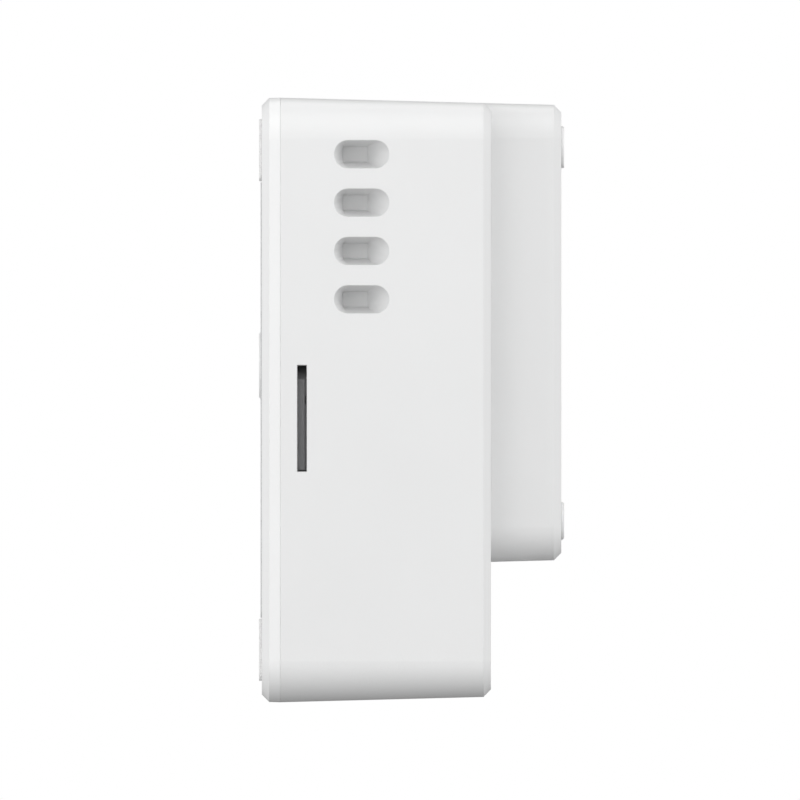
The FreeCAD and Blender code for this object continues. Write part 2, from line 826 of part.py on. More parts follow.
# ------------------------------------------------------------------ housing
def scoops(body):
    """Four scoops down each side: a short straight rim, then walls that slope to a flat floor."""
    rim = new_sketch(body, "YZ_Plane", "-body_width / 2 - over_cut")
    deep = new_sketch(body, "YZ_Plane", "-scoop_rim")
    floor = new_sketch(body, "YZ_Plane", "-scoop_bottom")
    for sketch in (rim, deep):
        draw_stadium(sketch)
    draw_floor(floor)
    straight = body.newObject("PartDesign::Pocket", "scoop_rim")
    straight.Profile = rim
    straight.Reversed = True
    bind(straight, Length="body_width / 2 + over_cut - scoop_rim")
    sloped = body.newObject("PartDesign::SubtractiveLoft", "scoop_walls")
    sloped.Profile = deep
    sloped.Sections = [floor]
    sloped.Ruled = True
    pattern = body.newObject("PartDesign::MultiTransform", "scoop_repeats")
    pattern.Originals = [straight, sloped]
    column = document.addObject("PartDesign::LinearPattern", "scoop_column")
    axis = next(item for item in body.Origin.OriginFeatures if item.Role == "Y_Axis")
    column.Direction = (axis, [""])
    column.Mode = "Spacing"
    column.Occurrences = 4
    bind(column, Offset="scoop_pitch")
    other_side = document.addObject("PartDesign::Mirrored", "scoop_other_side")
    other_side.MirrorPlane = (origin_plane(body, "YZ_Plane"), [""])
    pattern.Transformations = [column, other_side]
    body.Tip = pattern


def draw_stadium(sketch):
    """A scoop's mouth, in a sketch whose x is up and whose y points away from the wall.

    The drawn places only start the sketch off; its constraints then set the real ones.
    """
    first = Vector(23.3, 20, 0)
    last = Vector(23.3, 27, 0)
    across = Vector(3, 0, 0)
    sketch.addGeometry(Part.LineSegment(first + across, last + across), False)
    upward = Vector(0, 0, 1)
    sketch.addGeometry(Part.ArcOfCircle(Part.Circle(last, upward, 3), 0, math.pi), False)
    sketch.addGeometry(Part.LineSegment(last - across, first - across), False)
    low_arc = Part.ArcOfCircle(Part.Circle(first, upward, 3), math.pi, 2 * math.pi)
    sketch.addGeometry(low_arc, False)
    for edge in range(4):
        constrain(sketch, "Tangent", edge, 2, (edge + 1) % 4, 1)
    constrain(sketch, "Vertical", 0)
    constrain(sketch, "Equal", 1, 3)
    constrain(sketch, "Radius", 1, size="scoop_height / 2", drawn=3.0)
    constrain(sketch, "DistanceX", -1, 1, 1, 3, size="scoop_up", drawn=23.3)
    half = "(scoop_length - scoop_height) / 2"
    constrain(sketch, "DistanceY", -1, 1, 1, 3, size=f"scoop_depth_centre + {half}", drawn=27.0)
    constrain(sketch, "DistanceY", -1, 1, 3, 3, size=f"scoop_depth_centre - {half}", drawn=20.0)


def draw_floor(sketch):
    """A scoop's rectangular floor, with its edges in the order of the mouth's."""
    points = [Vector(25, 20, 0), Vector(25, 25, 0), Vector(21, 25, 0), Vector(21, 20, 0)]
    for place, point in enumerate(points):
        sketch.addGeometry(Part.LineSegment(point, points[(place + 1) % 4]), False)
    for edge in range(4):
        constrain(sketch, "Coincident", edge, 2, (edge + 1) % 4, 1)
        constrain(sketch, "Vertical" if edge % 2 == 0 else "Horizontal", edge)
    half_height = "scoop_floor_height / 2"
    half_length = "scoop_floor_length / 2"
    near = f"scoop_floor_centre - {half_length}"
    far = f"scoop_floor_centre + {half_length}"
    constrain(sketch, "DistanceX", -1, 1, 0, 1, size=f"scoop_up + {half_height}", drawn=25.0)
    constrain(sketch, "DistanceX", -1, 1, 2, 1, size=f"scoop_up - {half_height}", drawn=21.0)
    constrain(sketch, "DistanceY", -1, 1, 0, 1, size=near, drawn=20.0)
    constrain(sketch, "DistanceY", -1, 1, 0, 2, size=far, drawn=25.0)


def block_outline(inset, rise):
    """Centre and size of the front block's outline, inset from the outside and drafted back."""
    top = f"(block_top - ({inset}) + ({rise}) * slope)"
    bottom = f"(block_bottom + ({inset}) - ({rise}) * slope)"
    width = f"block_width - 2 * ({inset}) + 2 * ({rise}) * slope"
    return ("0", f"({top} + {bottom}) / 2"), (width, f"{top} - {bottom}")


def front_housing():
    """The drafted shell with its raised front block, open at the back."""
    body = new_body("front_housing")
    whole = ("body_width", "body_height")
    slab(body, ("0", "0"), whole, "corner_radius", "parting", "shell_depth", "-draft_angle")
    front = sheet.get("pad_thick") + sheet.get("plate_thick") + sheet.get("shell_depth")
    chamfer(body, "edge_chamfer", lambda point: abs(point.z - front) < 0.001)
    centre, size = block_outline("0", "block_root")
    start = "shoulder - block_root"
    long = "block_depth + block_root"
    slab(body, centre, size, "block_radius", start, long, "-draft_angle")
    tip = front + sheet.get("block_depth")
    chamfer(body, "edge_chamfer", lambda point: abs(point.z - tip) < 0.001)
    housing_cavities(body)
    foot_chamber(body)
    housing_bosses(body)
    housing_openings(body)
    scoops(body)
    return body


def housing_cavities(body):
    """The seat for the inner cover, the main hollow, the block's hollow and the scoops' backing."""
    for wall, start, end in (("thin_wall", "parting", "shelf"), ("thick_wall", "shelf", "shoulder_inside")):
        size = (f"body_width - 2 * {wall}", f"body_height - 2 * {wall}")
        long = f"{end} - {start}"
        slab(body, ("0", "0"), size, f"corner_radius - {wall}", start, long, "-draft_angle", cut=True)
    centre, size = block_outline("thin_wall", "thick_wall")
    radius = "block_radius - thin_wall"
    long = "face_inside - shoulder_inside"
    slab(body, centre, size, radius, "shoulder_inside", long, "-draft_angle", cut=True)
    thick = "(body_width / 2 - thick_wall - scoop_backing + root)"
    height = "3 * scoop_pitch + scoop_height + 2 * scoop_margin"
    length = "scoop_length + 2 * scoop_margin"
    back = f"scoop_depth_centre - ({length}) / 2"
    for side in ("-1", "1"):
        middle = f"{side} * (scoop_backing + {thick} / 2)"
        centre = (middle, "scoop_up + 1.5 * scoop_pitch", back)
        centred_box(body, centre, (thick, height, length))


def foot_chamber(body):
    """The closed pocket that keeps the plate's foot outside the sealed space."""
    wall = "(chamber_wall + foot_gap)"
    low = (f"-foot_width / 2 - {wall}", "foot_low - foot_gap", "shelf")
    size = (f"foot_width + 2 * {wall}", f"foot_height + foot_gap + {wall}", "foot_reach - shelf + foot_drop")
    box(body, low, size)
    low = ("-foot_width / 2 - foot_gap", "foot_low - loose_gap", "shelf")
    height = "foot_height + loose_gap + foot_gap"
    size = ("foot_width + 2 * foot_gap", height, "foot_reach - shelf + foot_gap")
    box(body, low, size, cut=True)


def housing_bosses(body):
    """Screw bosses for the cover and posts for the small boards."""
    reach = "shoulder_inside - cover_front + root"
    bore = "cover_screw_radius + snug_gap"
    for x in ("-boss_x", "boss_x"):
        for up in ("-boss_up", "boss_up"):
            rod(body, (x, up, "cover_front"), "boss_radius", reach)
            rod(body, (x, up, "cover_front"), bore, "cover_screw_length", cut=True)
    posts = [
        ("camera_post_x", "camera_up", "mount_front", "face_inside"),
        ("sensor_post_x", "sensor_post_up", "sensor_board_front", "face_inside"),
        ("bell_post_x", "bell_up", "bell_board_front", "shoulder_inside"),
    ]
    for x, up, start, end in posts:
        for side in ("-", ""):
            rod(body, (side + x, up, start), "module_post_radius", f"{end} - {start} + root")
            rod(body, (side + x, up, start), "small_hole_radius", "small_hole_deep", cut=True)


def housing_openings(body):
    """The ways through the housing's walls."""
    bezel = ("bezel_length + 2 * fit_gap", "bezel_height + 2 * fit_gap")
    pill(body, ("0", "camera_up"), bezel, "face_inside", "thin_wall", cut=True)
    motion = ("motion_length + 2 * fit_gap", "motion_height + 2 * fit_gap")
    pill(body, ("0", "motion_up"), motion, "face_inside", "thin_wall", cut=True)
    rod(body, ("0", "bell_up", "shoulder_inside"), "ring_outer + fit_gap", "thick_wall", cut=True)
    rod(body, ("0", "microphone_up", "face_inside"), "grille_hole", "thin_wall", cut=True)
    below = "-body_height / 2 - over_cut"
    door = ("tray_width + 2 * door_margin", "thick_wall + 4.6 * over_cut", "tray_thick + 2 * door_margin")
    box(body, ("-tray_width / 2 - door_margin", below, "door_back"), door, cut=True)
    hole = ("0", below, "security_depth")
    upright_rod(body, hole, "security_radius + 2 * snug_gap", "thick_wall + security_sink", cut=True)
    upright_rod(body, hole, "security_head + 2 * snug_gap", "security_sink", cut=True)
    slot = ("-body_width / 2 - over_cut", "card_up - slot_height / 2", "card_depth - slot_thick / 2")
    box(body, slot, ("thick_wall + 2 * over_cut", "slot_height", "slot_thick"), cut=True)
    grille_holes(body)


def grille_holes(body):
    """The speaker's holes: one in the middle and rings of six, twelve and eighteen."""
    long = "thin_wall + root"
    rod(body, ("0", "speaker_up", "face_inside"), "grille_hole", long, cut=True)
    for ring in (1, 2, 3):
        radius = f"{ring} * grille_ring"
        centre = ("0", "speaker_up")
        drilled_ring(body, centre, radius, "grille_hole", "face_inside", long, 6 * ring)


# ------------------------------------------------------------------ memory card
def card_socket():
    """The socket on the main board's wall side that guides the card in from the side."""
    body = new_body("card_socket")
    height = "card_height + 2 * fit_gap + 2 * socket_wall"
    back = "(cover_front + socket_back_gap)"
    low = ("-card_outer_end + socket_inset", f"card_up - ({height}) / 2", back)
    box(body, low, ("socket_length", height, f"main_depth - {back}"))
    cavity = (
        "-card_outer_end",
        "card_up - card_height / 2 - fit_gap",
        "card_depth - card_thick / 2 - fit_gap",
    )
    size = ("card_length + fit_gap", "card_height + 2 * fit_gap", "card_thick + 2 * fit_gap")
    box(body, cavity, size, cut=True)
    window = ("-card_outer_end + socket_window_place", "card_up - socket_window_height / 2", back)
    box(body, window, ("socket_window_width", "socket_window_height", "root + snug_gap"), cut=True)
    return body


def memory_card():
    """A full-size card with its cut corners, a bevelled and notched outer end and a finger groove."""
    body = new_body("memory_card")
    back = "card_depth - card_thick / 2"
    low = ("-card_outer_end", "card_up - card_height / 2", back)
    box(body, low, ("card_length", "card_height", "card_thick"))
    inner_end = sheet.get("card_length") - sheet.get("card_outer_end")
    top = sheet.get("card_up") + sheet.get("card_height") / 2
    outer_end = -sheet.get("card_outer_end")
    front = sheet.get("card_depth") + sheet.get("card_thick") / 2
    at_top = lambda point: abs(point.y - top) < 0.001
    chamfer(body, "card_corner", lambda point: at_top(point) and abs(point.x - inner_end) < 0.001)
    chamfer(body, "card_outer_corner", lambda point: at_top(point) and abs(point.x - outer_end) < 0.001)
    on_front = lambda point: abs(point.z - front) < 0.001
    chamfer(body, "card_bevel", lambda point: on_front(point) and abs(point.x - outer_end) < 0.001)
    groove = ("-card_outer_end + card_groove_place", "card_up - card_groove_long / 2", back)
    box(body, groove, ("card_groove_wide", "card_groove_long", "card_groove_deep"), cut=True)
    notch = ("-card_outer_end", "-notch_height / 2", "card_depth + card_thick / 2 - notch_wide")
    box(body, notch, ("notch_deep", "notch_height", "notch_wide"), cut=True)
    return body


# ------------------------------------------------------------------ main board
def main_board():
    """The main circuit board on the inner cover's posts."""
    body = new_body("main_board")
    middle = ("0", "main_low + main_height / 2", "main_depth")
    centred_box(body, middle, ("main_width", "main_height", "board_thick"))
    for x in ("-post_x", "post_x"):
        for up in ("post_low", "post_high"):
            rod(body, (x, up, "main_depth"), "small_hole_radius", "board_thick", cut=True)
    low = sheet.get("main_low")
    high = low + sheet.get("main_height")
    side = sheet.get("main_width") / 2
    corners = lambda point: abs(point.x) > side - 0.001 and not low + 0.001 < point.y < high - 0.001
    fillet(body, "main_corner", corners)
    return body


def board_screws():
    """Four screws through the main board, the lower two through the sleeve's ears as well."""
    places = []
    for x in ("-post_x", "post_x"):
        places.append((x, "post_low", "main_front + ear_thick"))
        places.append((x, "post_high", "main_front"))
    shank = ("small_screw_radius", "small_screw_length")
    return backwards_screws("board_screws", places, *shank, "small_head_radius", "small_head_thick")


def shield_cans():
    """Two pressed metal covers over the processor and the radio."""
    body = new_body("shield_cans")
    big = ("big_can_width", "big_can_height", "big_can_thick")
    centred_box(body, ("big_can_x", "can_up", "main_front"), big)
    small = ("small_can_width", "small_can_height", "small_can_thick")
    centred_box(body, ("small_can_x", "can_up", "main_front"), small)
    front = sheet.get("main_depth") + sheet.get("board_thick") + sheet.get("small_can_thick")
    fillet(body, "can_edge", lambda point: point.z > front - 0.001)
    return body


CHIP_PLACES = ("-42", "-32", "36", "45")
COIL_PLACES = ("-20", "-12", "-4")


def board_chips():
    """Chips, inductors and connectors soldered to the main board."""
    body = new_body("board_chips")
    for up in CHIP_PLACES:
        size = ("chip_size", "chip_size", "chip_thick")
        centred_box(body, ("chip_x", up, "main_depth - chip_thick"), size)
    for x in COIL_PLACES:
        size = ("coil_size", "coil_size", "coil_thick")
        centred_box(body, (x, "coil_up", "main_depth - coil_thick"), size)
    for x in ("-side_plug_x", "side_plug_x"):
        size = ("side_plug_width", "side_plug_height", "plug_thick")
        centred_box(body, (x, "side_plug_up", "main_front"), size)
    size = ("top_plug_width", "top_plug_height", "plug_thick")
    centred_box(body, ("0", "top_plug_up", "main_front"), size)
    return body


def antenna():
    """A bent strip aerial that stands on two legs at the top of the main board."""
    body = new_body("antenna")
    size = ("antenna_length", "antenna_height", "antenna_thick")
    centred_box(body, ("0", "antenna_up", "main_front + antenna_lift"), size)
    for x in ("(antenna_thick - antenna_length) / 2", "antenna_feed_x"):
        size = ("antenna_thick", "antenna_leg", "antenna_lift")
        centred_box(body, (x, "antenna_up", "main_front"), size)
    return body


def ribbon_cables():
    """Flat cables from the main board to the camera, the motion sensor and the button board."""
    body = new_body("ribbon_cables")
    ribbon_to_camera(body)
    ribbon_to_button(body)
    ribbon_to_sensor(body)
    return body


def ribbon_to_camera(body):
    """Up from the top connector, then out to the camera board."""
    left = "-camera_ribbon_width / 2"
    rise = ("camera_ribbon_width", "camera_ribbon_top - camera_ribbon_low + ribbon_thick", "ribbon_thick")
    box(body, (left, "camera_ribbon_low", "board_plug_front"), rise)
    reach = "mount_back - board_thick - board_plug_front - snug_gap"
    box(body, (left, "camera_ribbon_top", "board_plug_front"), ("camera_ribbon_width", "ribbon_thick", reach))


def ribbon_to_button(body):
    """Out from the right connector, down beside the battery and out to the button board."""
    x = "button_ribbon_x"
    wide = "ribbon_width"
    low = "button_ribbon_low"
    step = "board_plug_front + button_ribbon_step"
    box(body, (x, "0", "board_plug_front"), ("ribbon_thick", wide, f"{wide} + button_ribbon_step"))
    box(body, (x, low, step), ("ribbon_thick", f"{wide} / 4 - {low}", wide))
    box(body, (x, low, step), ("ribbon_thick", wide, f"bell_board_front - ({step})"))
    across = f"{x} - button_ribbon_inner_x + ribbon_thick"
    box(body, ("button_ribbon_inner_x", low, "bell_board_front"), (across, wide, "ribbon_thick"))


def ribbon_to_sensor(body):
    """Out from the left connector past the battery, down, across and out to the sensor board."""
    x = "sensor_ribbon_x"
    wide = "ribbon_width"
    low = "sensor_ribbon_low"
    front = "sensor_ribbon_front"
    turn = f"({front} + ribbon_thick)"
    box(body, (x, "0", "board_plug_front"), ("ribbon_thick", wide, f"{turn} - board_plug_front"))
    box(body, (x, low, f"{turn} - {wide}"), ("ribbon_thick", f"{wide} - {low}", wide))
    across = "sensor_ribbon_inner_x - sensor_ribbon_x + ribbon_thick"
    box(body, (x, low, front), (across, wide, "ribbon_thick"))
    reach = f"sensor_board_depth - {front} - snug_gap"
    box(body, ("sensor_ribbon_inner_x", low, front), ("ribbon_thick", wide, reach))


# ------------------------------------------------------------------ battery
def battery_sleeve():
    """The tube that guides the battery, open below, with ears on the main board."""
    body = new_body("battery_sleeve")
    back = "battery_depth - sleeve_outer_thick / 2"
    tall = "sleeve_roof + sleeve_wall - sleeve_low"
    low = ("-sleeve_outer_width / 2", "sleeve_low", back)
    box(body, low, ("sleeve_outer_width", tall, "sleeve_outer_thick"))
    for side in ("-1", "1"):
        middle = (f"{side} * (post_x + 2 * snug_gap)", "post_low", "main_front")
        centred_box(body, middle, ("sleeve_ear_width", "sleeve_ear_height", "ear_thick"))
        rod(body, (f"{side} * post_x", "post_low", "main_front"), "small_hole_radius", "ear_thick", cut=True)
    low = ("-sleeve_inner_width / 2", "sleeve_low - over_cut", f"{back} + sleeve_wall")
    size = ("sleeve_inner_width", "sleeve_roof - sleeve_low + over_cut", "sleeve_inner_thick")
    box(body, low, size, cut=True)
    gap = "2 * snug_gap"
    hatch = (f"contact_block_width + 2 * {gap}", "contact_block_height", f"contact_block_thick + 2 * {gap}")
    centred_hatch = ("0", "sleeve_roof + contact_block_height / 2 - over_cut")
    deep = f"battery_depth - contact_block_thick / 2 - {gap}"
    centred_box(body, (*centred_hatch, deep), hatch, cut=True)
    return body


def battery_tray():
    """The battery's case, with a round bay for each cell."""
    body = new_body("battery_tray")
    low = ("-tray_width / 2", "tray_low", "tray_back")
    box(body, low, ("tray_width", "tray_top - tray_low", "tray_thick"))
    half = sheet.get("tray_width") / 2
    centre = sheet.get("battery_depth")
    thick = sheet.get("tray_thick") / 2
    corner = lambda point: abs(abs(point.x) - half) < 0.001 and abs(abs(point.z - centre) - thick) < 0.001
    fillet(body, "tray_corner", corner)
    long = "cell_low + cell_length + cell_cap_thick - tray_low + over_cut"
    for x in ("-cell_x", "cell_x"):
        bay = (x, "tray_low - over_cut", "battery_depth")
        upright_rod(body, bay, "cell_radius + bay_gap", long, cut=True)
    return body


def battery_cells():
    """Two round lithium cells side by side."""
    body = new_body("battery_cells")
    for x in ("-cell_x", "cell_x"):
        upright_rod(body, (x, "cell_low", "battery_depth"), "cell_radius", "cell_length")
        top = (x, "cell_low + cell_length", "battery_depth")
        upright_rod(body, top, "cell_cap_radius", "cell_cap_thick")
    return body


def battery_door():
    """The drafted plate that lies flush in the housing's underside, with its plug."""
    body = new_body("battery_door")
    plate = feature(body, "Box", False)
    start = "door_back + door_gap"
    margin = "2 * (door_margin - door_gap)"
    wide = f"tray_width + {margin}"
    bind(plate, Length=wide, Width="thin_wall", Height=f"tray_thick + {margin}")
    plate.Placement = Placement(Vector(), Rotation(Vector(1, 0, 0), -sheet.get("draft_angle")))
    move(plate, f"-({wide}) / 2", f"-body_height / 2 + ({start} - parting) * slope", start)
    low = ("-tray_width / 2 + plug_inset", "door_plug_low", "tray_back + plug_inset")
    size = ("tray_width - 2 * plug_inset", "tray_low - door_plug_low", "tray_thick - 2 * plug_inset")
    box(body, low, size)
    groove = ("-door_grip_long / 2", "door_grip_low", "battery_depth + door_grip_place")
    box(body, groove, ("door_grip_long", "door_grip_deep", "door_grip_wide"), cut=True)
    return body


def door_seal():
    """The rubber ring round the door's plug."""
    body = new_body("door_seal")
    low = ("-tray_width / 2", "tray_low - door_seal_low", "tray_back")
    box(body, low, ("tray_width", "door_seal_height", "tray_thick"))
    inset = "(plug_inset - snug_gap)"
    low = (f"-tray_width / 2 + {inset}", "tray_low - over_cut", f"tray_back + {inset}")
    size = (f"tray_width - 2 * {inset}", "2 * over_cut", f"tray_thick - 2 * {inset}")
    box(body, low, size, cut=True)
    return body


CONTACT_PLACES = (-1.5, -0.5, 0.5, 1.5)


def battery_contacts():
    """Four flat contacts on top of the battery."""
    body = new_body("battery_contacts")
    for place in CONTACT_PLACES:
        left = f"{place} * contact_pitch - contact_width / 2"
        low = (left, "tray_top", "battery_depth - contact_length / 2")
        box(body, low, ("contact_width", "contact_thick", "contact_length"))
    return body


def contact_block():
    """The plastic block in the sleeve's roof that holds the spring pins."""
    body = new_body("contact_block")
    back = "battery_depth - contact_block_thick / 2"
    low = ("-contact_block_width / 2", "tray_top + contact_block_lift", back)
    box(body, low, ("contact_block_width", "contact_block_height", "contact_block_thick"))
    for place in CONTACT_PLACES:
        hole = (f"{place} * contact_pitch", "tray_top", "battery_depth")
        long = "contact_block_height + 2 * over_cut"
        upright_rod(body, hole, "pin_radius + snug_gap / 2", long, cut=True)
    return body


def contact_pins():
    """Four spring pins that press on the battery's contacts."""
    body = new_body("contact_pins")
    for place in CONTACT_PLACES:
        foot = (f"{place} * contact_pitch", "tray_top + contact_thick", "battery_depth")
        upright_rod(body, foot, "pin_radius", "contact_block_height + 2 * over_cut")
    return body


# ------------------------------------------------------------------ bell button
def bell_button():
    """The round push button: a dished cap with a skirt, a retaining flange and a stem."""
    body = new_body("bell_button")
    back = "ring_back - 2 * snug_gap - bell_flange_thick"
    rod(body, ("0", "bell_up", back), "bell_flange", "bell_flange_thick")
    rod(body, ("0", "bell_up", back), "bell_radius", f"bell_face - ({back})")
    front = sheet.get("pad_thick") + sheet.get("plate_thick") + sheet.get("shell_depth")
    rim = front - sheet.get("bell_recess")
    chamfer(body, "bell_edge", lambda point: abs(point.z - rim) < 0.001)
    dish = feature(body, "Sphere", True)
    bind(dish, Radius="bell_dish_radius")
    move(dish, "0", "bell_up", "bell_face + bell_dish_radius - bell_dish_sag")
    hollow = "bell_radius - bell_skirt_wall"
    rod(body, ("0", "bell_up", back), hollow, f"bell_inner - ({back})", cut=True)
    rod(body, ("0", "bell_up", "plunger_top"), "stem_radius", "bell_inner - plunger_top + root / 2")
    return body


def light_ring():
    """The clear ring round the button that carries light from the board to the front."""
    body = new_body("light_ring")
    centre = ("0", "bell_up", "ring_back")
    rod(body, centre, "ring_flange", "shoulder_inside - ring_back")
    rod(body, centre, "ring_outer", "bell_face - ring_back + snug_gap")
    rod(body, centre, "ring_inner", "ring_outer", cut=True)
    return body


def button_board():
    """The small board under the button."""
    body = new_body("button_board")
    size = ("bell_board_width", "bell_board_height", "board_thick")
    centred_box(body, ("0", "bell_up", "bell_board_depth"), size)
    for x in ("-bell_post_x", "bell_post_x"):
        rod(body, (x, "bell_up", "bell_board_depth"), "small_hole_radius", "board_thick", cut=True)
    return body


def button_switch():
    """The switch body, with a bore for its plunger."""
    body = new_body("button_switch")
    size = ("switch_size", "switch_size", "switch_height")
    centred_box(body, ("0", "bell_up", "bell_board_front"), size)
    bore = ("0", "bell_up", "bell_board_front + switch_floor")
    rod(body, bore, "plunger_radius + snug_gap", "switch_height", cut=True)
    return body


def switch_plunger():
    """The switch's plunger, which the button's stem rests on."""
    body = new_body("switch_plunger")
    rod(body, ("0", "bell_up", "plunger_top - plunger_length"), "plunger_radius", "plunger_length")
    return body


def ring_leds():
    """Six small lamps under the light ring."""
    body = new_body("ring_leds")
    for place in range(6):
        angle = f"{60 * place + 30} deg"
        x = f"(ring_led_radius * cos({angle}))"
        up = f"(bell_up + ring_led_radius * sin({angle}))"
        size = ("ring_led_width", "ring_led_height", "ring_led_thick")
        centred_box(body, (x, up, "bell_board_front"), size)
    return body


def button_spring():
    """The coil spring that returns the button, round the switch, a little clear at both ends."""
    wire_radius = sheet.get("spring_wire")
    clear = sheet.get("snug_gap") / 2
    board_front = sheet.get("bell_board_depth") + sheet.get("board_thick")
    face = sheet.get("pad_thick") + sheet.get("plate_thick") + sheet.get("shell_depth")
    cap = face - sheet.get("bell_recess") - sheet.get("bell_top_thick")
    rise = cap - board_front - 2 * wire_radius - 2 * clear
    radius = sheet.get("spring_radius")
    helix = Part.makeHelix(rise / sheet.get("spring_turns"), rise, radius)
    section = Part.makeCircle(wire_radius, Vector(radius, 0, 0), Vector(0, 1, 0))
    coil = Part.Wire(helix).makePipeShell([Part.Wire(section)], True, True)
    item = document.addObject("Part::Feature", "button_spring")
    item.Label = "button_spring"
    item.Shape = coil
    bell_up = sheet.get("bell_up")
    start = -(board_front + wire_radius + clear)
    item.Placement = Placement(Vector(0, start, bell_up), Rotation(Vector(1, 0, 0), 90))
    return item


# ------------------------------------------------------------------ camera
def camera_bezel():
    """The raised pill-shaped frame round the camera's window."""
    body = new_body("camera_bezel")
    centre = ("0", "camera_up")
    flange = ("bezel_length + 2 * bezel_flange", "bezel_height + 2 * bezel_flange")
    pill(body, centre, flange, "bezel_back", "bezel_flange")
    pill(body, centre, ("bezel_length", "bezel_height"), "bezel_back", "face + pad_thick - bezel_back")
    tip = sheet.get("block_depth") + sheet.get("shell_depth") + sheet.get("plate_thick")
    tip = tip + 2 * sheet.get("pad_thick")
    fillet(body, "bezel_edge", lambda point: abs(point.z - tip) < 0.001)
    seat = ("window_length + 2 * fit_gap", "window_height + 2 * fit_gap")
    pill(body, centre, seat, "window_depth", "2 * window_thick", cut=True)
    deep = "window_depth - bezel_back + root"
    pill(body, centre, ("eye_length", "eye_height"), "bezel_back", deep, cut=True)
    return body


def camera_window():
    """The dark clear window in the bezel."""
    body = new_body("camera_window")
    pill(body, ("0", "camera_up"), ("window_length", "window_height"), "window_depth", "window_thick")
    return body


def led_board():
    """The board for the infrared lamps, stuck to the bezel's back, with a hole for the lens."""
    body = new_body("led_board")
    size = ("led_board_length", "led_board_height")
    pill(body, ("0", "camera_up"), size, "bezel_back - led_board_thick", "led_board_thick")
    hole = ("0", "camera_up", "bezel_back - 2 * over_cut")
    rod(body, hole, "nose_radius + loose_gap", "3 * over_cut", cut=True)
    return body


def infrared_leds():
    """Three infrared lamps with round tips."""
    body = new_body("infrared_leds")
    for x in ("-led_outer_x", "-led_inner_x", "led_inner_x"):
        rod(body, (x, "camera_up", "bezel_back"), "led_radius", "led_body")
        cone(body, (x, "camera_up", "bezel_back + led_body"), "led_radius", "led_radius / 2", "led_tip")
    return body


def light_sensor():
    """The daylight sensor beside the lamps."""
    body = new_body("light_sensor")
    size = ("light_sensor_width", "light_sensor_height", "light_sensor_thick")
    centred_box(body, ("led_outer_x", "camera_up", "bezel_back"), size)
    return body


def lens_barrel():
    """The lens tube: a thin nose on a threaded body."""
    body = new_body("lens_barrel")
    rod(body, ("0", "camera_up", "barrel_back"), "barrel_radius", "barrel_front - barrel_back")
    nose = ("0", "camera_up", "barrel_front - root")
    rod(body, nose, "nose_radius", "nose_tip - barrel_front + root")
    bore = ("0", "camera_up", "barrel_back - over_cut")
    rod(body, bore, "glass_radius + snug_gap / 2", "nose_tip - barrel_back + 2 * over_cut", cut=True)
    return body


def lens_elements():
    """Three glass elements inside the tube."""
    body = new_body("lens_elements")
    glasses = (
        ("nose_tip - front_glass_inset - front_glass_thick", "front_glass_thick"),
        ("barrel_front", "middle_glass_thick"),
        ("barrel_back + rear_glass_inset", "rear_glass_thick"),
    )
    for out, thick in glasses:
        rod(body, ("0", "camera_up", out), "glass_radius", thick)
    return body


def camera_mount():
    """The holder over the image sensor, with a chamber for the filter slider and two ears."""
    body = new_body("camera_mount")
    size = ("2 * mount_half", "mount_height", "mount_front - mount_back")
    centred_box(body, ("0", "camera_up", "mount_back"), size)
    ears = ("2 * (camera_post_x + ear_margin)", "ear_height", "ear_thick")
    centred_box(body, ("0", "camera_up", "mount_front - ear_thick"), ears)
    for x in ("-camera_post_x", "camera_post_x"):
        hole = (x, "camera_up", "mount_front - ear_thick")
        rod(body, hole, "small_hole_radius", "ear_thick", cut=True)
    chamber = ("2 * (mount_half - mount_wall)", "chamber_height", "chamber_front - mount_back")
    centred_box(body, ("0", "camera_up", "mount_back"), chamber, cut=True)
    rod(body, ("0", "camera_up", "mount_back"), "mount_eye", "mount_front - mount_back", cut=True)
    bore = ("0", "camera_up", "barrel_back - snug_gap")
    rod(body, bore, "barrel_radius + snug_gap / 2", "mount_front - mount_back", cut=True)
    return body


def image_sensor():
    """The image sensor under the lens."""
    body = new_body("image_sensor")
    size = ("image_sensor_width", "image_sensor_height", "image_sensor_thick")
    centred_box(body, ("0", "camera_up", "mount_back"), size)
    return body


def camera_board():
    """The board that carries the image sensor."""
    body = new_body("camera_board")
    size = ("camera_board_width", "mount_height", "board_thick")
    centred_box(body, ("0", "camera_up", "mount_back - board_thick"), size)
    return body


def filter_slider():
    """The thin frame that moves the night filter across the sensor."""
    body = new_body("filter_slider")
    size = ("filter_travel + 2 * filter_margin", "filter_height", "filter_thick")
    centred_box(body, ("-filter_travel / 2", "camera_up", "filter_depth"), size)
    for x in ("-filter_travel", "0"):
        window = ("filter_window_width", "filter_window_height", "filter_thick")
        centred_box(body, (x, "camera_up", "filter_depth"), window, cut=True)
    return body


def infrared_filter():
    """The coloured filter glass in the slider."""
    body = new_body("infrared_filter")
    size = ("filter_window_width", "filter_window_height", "filter_glass_thick")
    centred_box(body, ("0", "camera_up", "filter_depth + snug_gap"), size)
    return body


# ------------------------------------------------------------------ motion sensor, microphone
def motion_window():
    """The milky pill-shaped window of the motion sensor."""
    body = new_body("motion_window")
    centre = ("0", "motion_up")
    flange = ("motion_length + 2 * bezel_flange", "motion_height + 2 * bezel_flange")
    pill(body, centre, flange, "bezel_back", "bezel_flange")
    pill(body, centre, ("motion_length", "motion_height"), "bezel_back", "face + pad_thick - bezel_back")
    tip = sheet.get("block_depth") + sheet.get("shell_depth") + sheet.get("plate_thick")
    tip = tip + 2 * sheet.get("pad_thick")
    fillet(body, "motion_edge", lambda point: abs(point.z - tip) < 0.001)
    inside = ("motion_length - 2 * motion_wall", "motion_height - 2 * motion_wall")
    pill(body, centre, inside, "bezel_back", "face + pad_thick - motion_wall - bezel_back", cut=True)
    return body


